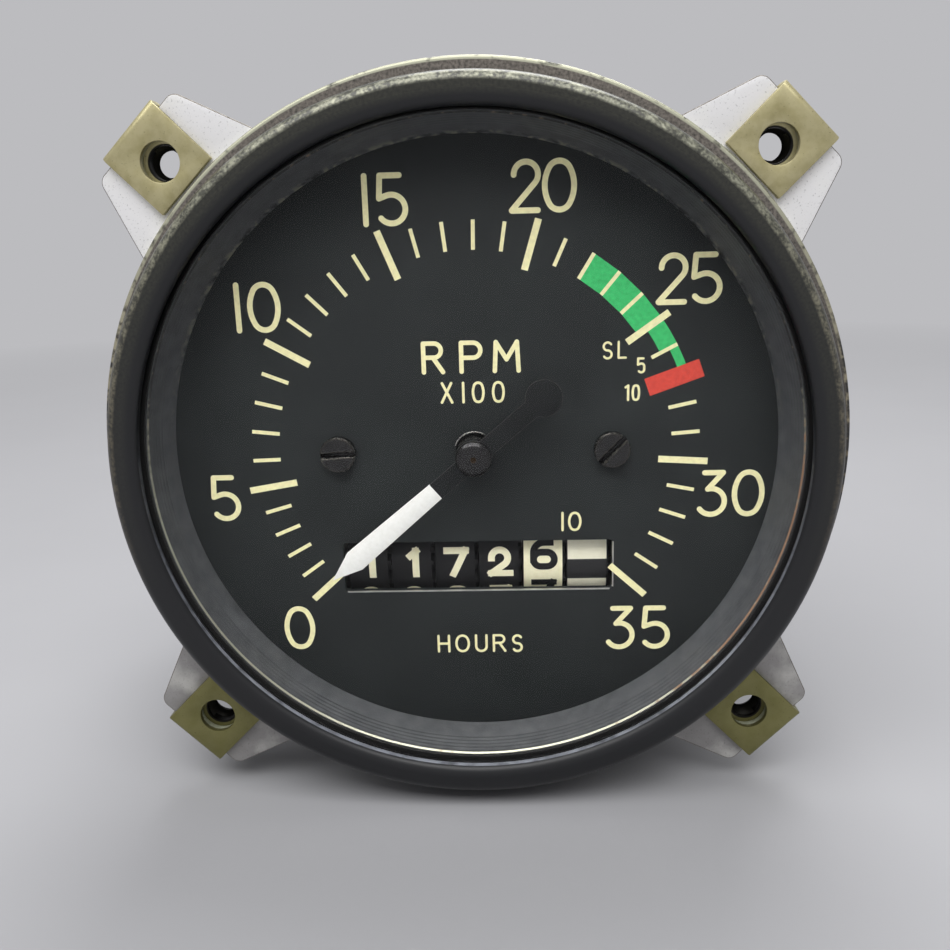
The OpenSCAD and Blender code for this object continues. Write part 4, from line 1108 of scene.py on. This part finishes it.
def zinc_plate():
    """Dull zinc plating with dark specks and a pale bloom, and painted light that makes the upper ears paler."""
    f = Finish("zinc_plate")
    specks = f.spread(f.grain(0.22, 3.0), 0.6, 0.7)
    bloom = f.spread(f.grain(5.0, 6.0), 0.5, 0.68)
    # Painted light: the upper ears are made paler, up to near white, by height.
    upper = f.spread(f.axis("Z"), -10 * MM, 20 * MM, 0.0, 0.95)
    colour = f.coats(rgb(138, 136, 134), (f.grain(1.2, 5.0), rgb(164, 161, 160)), (upper, rgb(253, 252, 252)),
                     (f.times(bloom, 0.4), rgb(248, 247, 240)), (f.times(specks, 0.35), rgb(96, 92, 92)))
    return f.done({"Base Color": colour, "Metallic": 0.05, "Roughness": f.spread(bloom, 0, 1, 0.46, 0.75),
                   "Normal": f.bump(f.grain(0.4, 4.0), 0.012)})


flank_off_axis = (EAR_END_HALF + EAR_END * tan(EAR_FLARE)) * cos(EAR_FLARE)
root_angle = 90 - degrees(EAR_FLARE) - degrees(acos(flank_off_axis / PLATE_R))
edge = []
for angle in EAR_ANGLES:
    edge += arc_points(0, PLATE_R, angle - 90 + root_angle, angle - root_angle, 40)
    edge += [on_ear(EAR_END, -EAR_END_HALF, angle), on_ear(EAR_END, EAR_END_HALF, angle)]
bm = bmesh.new()
outline(bm, edge)
round_outline(bm, POCKET_R, steps=AROUND)
for angle in EAR_ANGLES:
    round_outline(bm, EAR_HOLE_R, *on_ear(BOLT_R, 0, angle), steps=40)
fill_plate(bm, EAR_FRONT, EAR_BACK)
ear_corners = [e for e in sharp_edges(bm) if rise(e) > 0.1 and from_axis(e.verts[0].co) > EAR_END]
soften(bm, ear_corners, EAR_ROUND, 5)
bm.normal_update()
for face in bm.faces:
    face.material_index = 2 * int(abs(face.normal.y) < 0.5)
soften(bm, [e for e in sharp_edges(bm, 60) if rise(e) < NEAR], SHEET_EDGE, 2, 1)
cut_edge = bare_metal("cut_edge", rgb(132, 126, 120), 0.45, 0.5)
plate_edge = paint("plate_edge", rgb(194, 198, 174), rgb(172, 174, 150))
add_piece("ear_plate", bm, [zinc_plate(), cut_edge, plate_edge], nodes=["mounting_plate"])

# %% [markdown]
# ## Clip nuts
# A clip nut is a strip of springy sheet, punched, folded over the end of an ear, with a threaded barrel pressed into
# its back leg. It is made here as it is in a press: a flat leg with its hole, the end spun a quarter turn, drawn back
# past the ear, spun again, and a second leg with the threaded hole joined on.

# %% Clip nut
CLIP_START = FLANGE_R + 0.2
CLIP_T = 0.7
FOLD_AT = 48.4
CLIP_HALF = 3.95
CLIP_HOLE_R = 2.05
THREAD_R, THREAD_ROOT_R, THREAD_PITCH = 1.75, 1.42, 0.794
CLIP_BACK = EAR_BACK + CLIP_T


def punched_leg(front, back, hole_r):
    """One flat leg of a clip nut along the x axis, with its hole."""
    leg = bmesh.new()
    outline(leg, rectangle(CLIP_START, FOLD_AT, -CLIP_HALF, CLIP_HALF))
    round_outline(leg, hole_r, BOLT_R, steps=40)
    fill_plate(leg, front, back)
    return leg


def join(bm, other):
    """Copy another drawing into this one."""
    mesh = bpy.data.meshes.new("joined")
    other.to_mesh(mesh)
    other.free()
    bm.from_mesh(mesh)
    bpy.data.meshes.remove(mesh)


def faces_at_fold(bm, front, back):
    """The cut ends of legs between two depths, where the fold joins on."""
    return [f for f in bm.faces if all(abs(v.co.x - FOLD_AT) < 0.001 and front - NEAR < v.co.y < back + NEAR
                                       for v in f.verts)]


def fold(bm, faces, y):
    """Bend the end of the strip back by a quarter turn about its inner edge."""
    geom = faces + each_once(e for f in faces for e in f.edges) + each_once(v for f in faces for v in f.verts)
    last = bmesh.ops.spin(bm, geom=geom, cent=(FOLD_AT, y, 0), axis=(0, 0, 1), angle=pi / 2, steps=6)["geom_last"]
    return only(BMFace, last)


bm = punched_leg(0, CLIP_T, CLIP_HOLE_R)
end = fold(bm, faces_at_fold(bm, 0, CLIP_T), CLIP_T)
fold(bm, only(BMFace, pull(bm, end, EAR_BACK - EAR_FRONT)), EAR_BACK)
join(bm, punched_leg(EAR_BACK, CLIP_BACK, THREAD_R))
bmesh.ops.delete(bm, geom=faces_at_fold(bm, EAR_BACK, CLIP_BACK), context="FACES_ONLY")
clean(bm)
soften(bm, sharp_edges(bm, 50), SHEET_EDGE, 2)
print("a folded strip has", len(bm.faces), "faces")

# %% Four clip nuts
HOLE_AT = BOLT_R * cos(radians(EAR_ANGLES[0]))
BARREL_R, BARREL_ROUND = 3.1, 0.25
BARREL_FRONT, BARREL_BACK = EAR_BACK + 0.2, depths("clip_nuts")[1]
RIDGE_HALF = 0.46
RIDGE_SUNK = 0.05


def clip_brass():
    """Brass gone olive and stained, darker on the lower pair partly as painted shade, and painted shade inside the
    holes.
    """
    f = Finish("clip_brass")
    # The lower pair is painted darker, partly olive age and partly painted shade.
    lower = f.spread(f.axis("Z"), 12 * MM, -12 * MM, 0.0, 0.85)
    stain = f.spread(f.grain(1.6, 6.0), 0.4, 0.7)
    specks = f.spread(f.grain(0.25, 3.0), 0.64, 0.74, 0.0, 0.6)
    mirrored = f.add("VectorMath", {0: f.at}, operation="ABSOLUTE").outputs["Vector"]
    hole = (HOLE_AT * MM, 0, HOLE_AT * MM)
    from_hole = f.add("VectorMath", {0: mirrored, 1: hole}, operation="SUBTRACT").outputs["Vector"]
    # Painted shade: the inside of each hole is painted near black.
    bore_shade = f.times(f.spread(radius(f, from_hole), 1.98 * MM, 1.9 * MM), f.spread(f.axis("Y"), 0.6 * MM, 1.0 * MM))
    colour = f.coats(rgb(198, 189, 146), (stain, rgb(172, 163, 118)), (lower, rgb(108, 106, 58)),
                     (specks, rgb(60, 54, 36)), (bore_shade, rgb(26, 24, 20)))
    return f.done({"Base Color": colour, "Metallic": 0.6, "Roughness": f.spread(stain, 0, 1, 0.36, 0.55),
                   "Normal": f.bump(f.grain(0.5, 4.0), 0.01)})


def thread_ridge(root_r, crest_r, pitch, first, last, steps=36):
    """A V-shaped ridge that climbs round the dial's axis as a screw thread does."""
    bm = bmesh.new()
    half = RIDGE_HALF * pitch
    corners = [bm.verts.new((r, first + y, 0)) for r, y in ((root_r, -half), (crest_r, 0), (root_r, half))]
    ridge = bm.faces.new(corners)
    turns = (last - first) / pitch
    bmesh.ops.spin(bm, geom=[ridge] + ridge.edges[:] + corners, cent=(0, 0, 0), axis=(0, 1, 0),
                   dvec=(0, pitch / steps, 0), angle=2 * pi * turns, steps=round(steps * turns))
    clean(bm)
    return bm


barrel = turned(rectangle(THREAD_R, BARREL_R, BARREL_FRONT, BARREL_BACK), 64)
soften(barrel, edges_at(barrel, BARREL_R, BARREL_BACK), BARREL_ROUND)
join(barrel, thread_ridge(THREAD_R + RIDGE_SUNK, THREAD_ROOT_R, THREAD_PITCH, BARREL_FRONT + 0.5, BARREL_BACK - 0.5))
bmesh.ops.translate(barrel, vec=(BOLT_R, 0, 0), verts=barrel.verts)
join(bm, barrel)
bmesh.ops.rotate(bm, verts=bm.verts, matrix=turning(EAR_ANGLES[0]))
first_clip = bm.verts[:] + bm.edges[:] + bm.faces[:]
for angle in EAR_ANGLES[1:]:
    copied = bmesh.ops.duplicate(bm, geom=first_clip)["geom"]
    bmesh.ops.rotate(bm, verts=only(BMVert, copied), matrix=turning(angle - EAR_ANGLES[0]))
add_piece("folded_clip_nuts", bm, [clip_brass()], nodes=["clip_nuts"])

# %% [markdown]
# ## Case
# Behind the panel is a drawn steel can with a flange, in crackle black. The crackle is a Voronoi pattern whose cell
# edges sink, as the paint shrinks and splits when it is baked.

# %% Case
CASE_FRONT, CASE_BACK = depths("case")
CASE_FLANGE_R, CASE_FLANGE_T = outer_r("case"), 1.2
CASE_R, CASE_IN_R = 35.55, 34.55
CASE_WALL = 1.0
CASE_ROUND, CASE_FOOT_ROUND = 2.0, 0.5
CASE_BORE_R = 4.1
CRACKLE = 0.9


def crackle_black():
    """Baked crackle paint."""
    f = Finish("crackle_black")
    cells = f.add("TexVoronoi", {"Vector": f.at, "Scale": 1 / (CRACKLE * MM)}, feature="DISTANCE_TO_EDGE")
    ridge = f.spread(cells.outputs[0], 0.0, 0.12)
    return f.done({"Base Color": f.coats(rgb(18, 18, 19), (ridge, rgb(40, 40, 42))),
                   "Roughness": f.spread(ridge, 0, 1, 0.6, 0.42), "Normal": f.bump(ridge, 0.04)})


case_seat, case_floor = CASE_FRONT + CASE_FLANGE_T, CASE_BACK - CASE_WALL
bm = turned([(CASE_IN_R, CASE_FRONT), (CASE_FLANGE_R, CASE_FRONT), (CASE_FLANGE_R, case_seat), (CASE_R, case_seat),
             (CASE_R, CASE_BACK), (CASE_BORE_R, CASE_BACK), (CASE_BORE_R, case_floor), (CASE_IN_R, case_floor)])
soften(bm, edges_at(bm, CASE_R, CASE_BACK), CASE_ROUND, 8)
soften(bm, edges_at(bm, CASE_R, case_seat), CASE_FOOT_ROUND, 4)
soften(bm, sharp_edges(bm))
add_piece("drawn_case", bm, [crackle_black()], nodes=["case"])

# %% [markdown]
# ## Drive stem
# The drive cable's nut screws on a 7/8 inch stem with 18 threads to the inch. The core is turned at the thread's root
# and a V-shaped ridge climbs round it. The ridge starts and ends inside the plain parts, so its ends are buried.

# %% Drive stem
STEM_FRONT, STEM_BACK = depths("drive_stem")
STEM_FLANGE_R, STEM_FLANGE_T, STEM_FLANGE_ROUND = outer_r("drive_stem"), 2.5, 0.4
STEM_R, STEM_PITCH = 11.11, 25.4 / 18
STEM_ROOT_R = STEM_R - 0.58 * STEM_PITCH
STEM_NECK_R, NECK_END, THREAD_FROM, THREAD_SHORT = STEM_R - 0.1, 0.9, 1.5, 1.0
PILOT_R, PILOT_DEPTH = 6.35, 9.5
STEM_BORE_R = 4.3

flange_back = STEM_FRONT + STEM_FLANGE_T
pilot_floor = STEM_BACK - PILOT_DEPTH
bm = turned([(STEM_BORE_R, STEM_FRONT), (STEM_FLANGE_R, STEM_FRONT), (STEM_FLANGE_R, flange_back),
             (STEM_NECK_R, flange_back), (STEM_NECK_R, flange_back + NECK_END),
             (STEM_ROOT_R, flange_back + THREAD_FROM), (STEM_ROOT_R, STEM_BACK), (PILOT_R, STEM_BACK),
             (PILOT_R, pilot_floor), (STEM_BORE_R, pilot_floor)], 128)
soften(bm, edges_at(bm, STEM_FLANGE_R, flange_back), STEM_FLANGE_ROUND, 4)
soften(bm, sharp_edges(bm))
join(bm, thread_ridge(STEM_ROOT_R - RIDGE_SUNK, STEM_R, STEM_PITCH, flange_back + THREAD_FROM + 0.1,
                      STEM_BACK - THREAD_SHORT, 72))
stem_metal = bare_metal("stem_metal", rgb(150, 146, 134), 0.38)
add_piece("threaded_stem", bm, [stem_metal], nodes=["drive_stem"])

# %% [markdown]
# ## Slotted screws
# Every screw here has a slotted head. A disc is cut twice by a plane, which leaves a strip across its middle. The
# whole disc is drawn up to the floor of the slot, and then the two side pieces alone are drawn up to the full height.
# Their rim is broken by a bevel that has a finish of its own, because screwdrivers and thumbs have rubbed it.

# %% Screw helpers
SLOT_SHARE = 0.5
CROWN_ROUND, CROWN_SHARE = 0.2, 0.25
SHANK_SUNK = 0.1


def slotted_screw(place, seat, towards, size, slot_angle):
    """A slotted screw whose head rises from its seat, towards -1 for the reader and 1 for the back."""
    head_r, head_h, slot_w, shank_r, shank = size
    bm = bmesh.new()
    bmesh.ops.create_circle(bm, cap_ends=True, segments=48, radius=head_r, matrix=FACING)
    for side in (-1, 1):
        cut(bm, (0, 0, side * slot_w / 2), (0, 0, 1))
    bmesh.ops.remove_doubles(bm, verts=bm.verts, dist=head_r * 0.05)
    slot_floor = towards * head_h * (1 - SLOT_SHARE)
    thicken(bm, slot_floor)
    lobes = [f for f in bm.faces if all(abs(v.co.y - slot_floor) < 0.001 for v in f.verts)
             and abs(f.calc_center_median().z) > slot_w / 2]
    pull(bm, lobes, towards * head_h * SLOT_SHARE)
    clean(bm)
    crown = [e for e in sharp_edges(bm) if all(abs(v.co.y - towards * head_h) < 0.001 for v in e.verts)]
    soften(bm, crown, min(CROWN_ROUND, head_h * CROWN_SHARE), finish=1)
    bmesh.ops.create_cone(bm, cap_ends=True, segments=24, radius1=shank_r, radius2=shank_r, depth=shank + SHANK_SUNK,
                          matrix=Matrix.Translation((0, -towards * (shank - SHANK_SUNK) / 2, 0)) @ FACING)
    bmesh.ops.rotate(bm, verts=bm.verts, matrix=turning(slot_angle))
    bmesh.ops.translate(bm, vec=(place[0], seat, place[1]), verts=bm.verts)
    return bm


def add_screws(name, node, finishes, places, seat, towards, size, slot_first, slot_step):
    """Join screws into one piece that stands for a CAD node, in a finish for the head and one for its edge."""
    bm = bmesh.new()
    for i, place in enumerate(places):
        join(bm, slotted_screw(place, seat, towards, size, slot_first + slot_step * i))
    add_piece(name, bm, finishes, nodes=[node])


screw_steel = bare_metal("screw_steel", rgb(150, 150, 150), 0.34, 0.6)
print("screws are finished in", blackened.name, "and", screw_steel.name)

# %% Screws
# A screw's size is its head's radius and height, its slot's width, and its shank's radius and length.
DIAL_SCREW = (2.0, 1.0, 0.5, 1.0, 2.0)
BEZEL_SCREW = (1.3, 1.0, 0.35, 0.8, 3.0)
CASE_SCREW = (2.2, 1.6, 0.5, 1.2, 3.0)
STEM_SCREW = (1.4, 1.1, 0.35, 0.8, 3.0)
# Each set of steel screws: its names, its circle, the angles on it, its seat, its size and how its slots turn.
STEEL_SETS = (
    ("bezel_screw_ring", "bezel_screws", 37.4, range(0, 360, 60), case_seat, BEZEL_SCREW, 25, 70),
    ("case_screw_set", "case_screws", 28.95, (0, 45, 135, 210), CASE_BACK, CASE_SCREW, 20, 55),
    ("stem_screw_set", "stem_screws", 14.06, EAR_ANGLES, flange_back, STEM_SCREW, 10, 65),
)

worn_black = bare_metal("worn_black", rgb(88, 86, 82), 0.25, 0.4)
add_screws("dial_screw_pair", "dial_screws", [blackened, worn_black],
           [(-DIAL_SCREW_X, 0), (DIAL_SCREW_X, 0)], DIAL_FRONT, -1, DIAL_SCREW, 3, 42)
for name, node, r, angles, seat, size, slot_first, slot_step in STEEL_SETS:
    add_screws(name, node, [screw_steel, rubbed_edge], [on_circle(r, angle) for angle in angles], seat,
               1, size, slot_first, slot_step)

# %% [markdown]
# ## Finishes for the works
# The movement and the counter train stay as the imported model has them. Each node only takes a finish, chosen by the
# material slot that its record names.

# %% Works
WORKS = {
    "spring_bronze": bare_metal("spring_bronze", rgb(176, 132, 92), 0.3, 0.5),
    "jewel": moulded("jewel_red", rgb(74, 14, 24), rgb(56, 10, 18), 0.12),
    "cup_aluminium": bare_metal("cup_aluminium", rgb(205, 206, 208), 0.4),
    "soft_iron": bare_metal("soft_iron", rgb(112, 112, 116), 0.45),
    "magnet_steel": bare_metal("magnet_steel", rgb(92, 92, 96), 0.5),
    "drum_white": drum_black,
    "drum_striped": drum_black,
    "drum_black": drum_black,
    "pinion_grey": moulded("pinion_grey", rgb(120, 120, 122), rgb(98, 98, 100), 0.5),
    "tin_plate": bare_metal("tin_plate", rgb(176, 176, 174), 0.42),
    "screw_steel": screw_steel,
    "stem_metal": stem_metal,
    "brass": bare_metal("movement_brass", rgb(196, 162, 92), 0.32),
    "steel": bare_metal("bright_steel", rgb(170, 170, 172), 0.26),
}
dressed = 0
for part in frame["record"]["subparts"]:
    if part["material_slot"] in WORKS:
        mesh = frame["nodes"][part["node"]].data
        mesh.materials.clear()
        mesh.materials.append(WORKS[part["material_slot"]])
        dressed += 1
print(dressed, "nodes of the works have their finish")
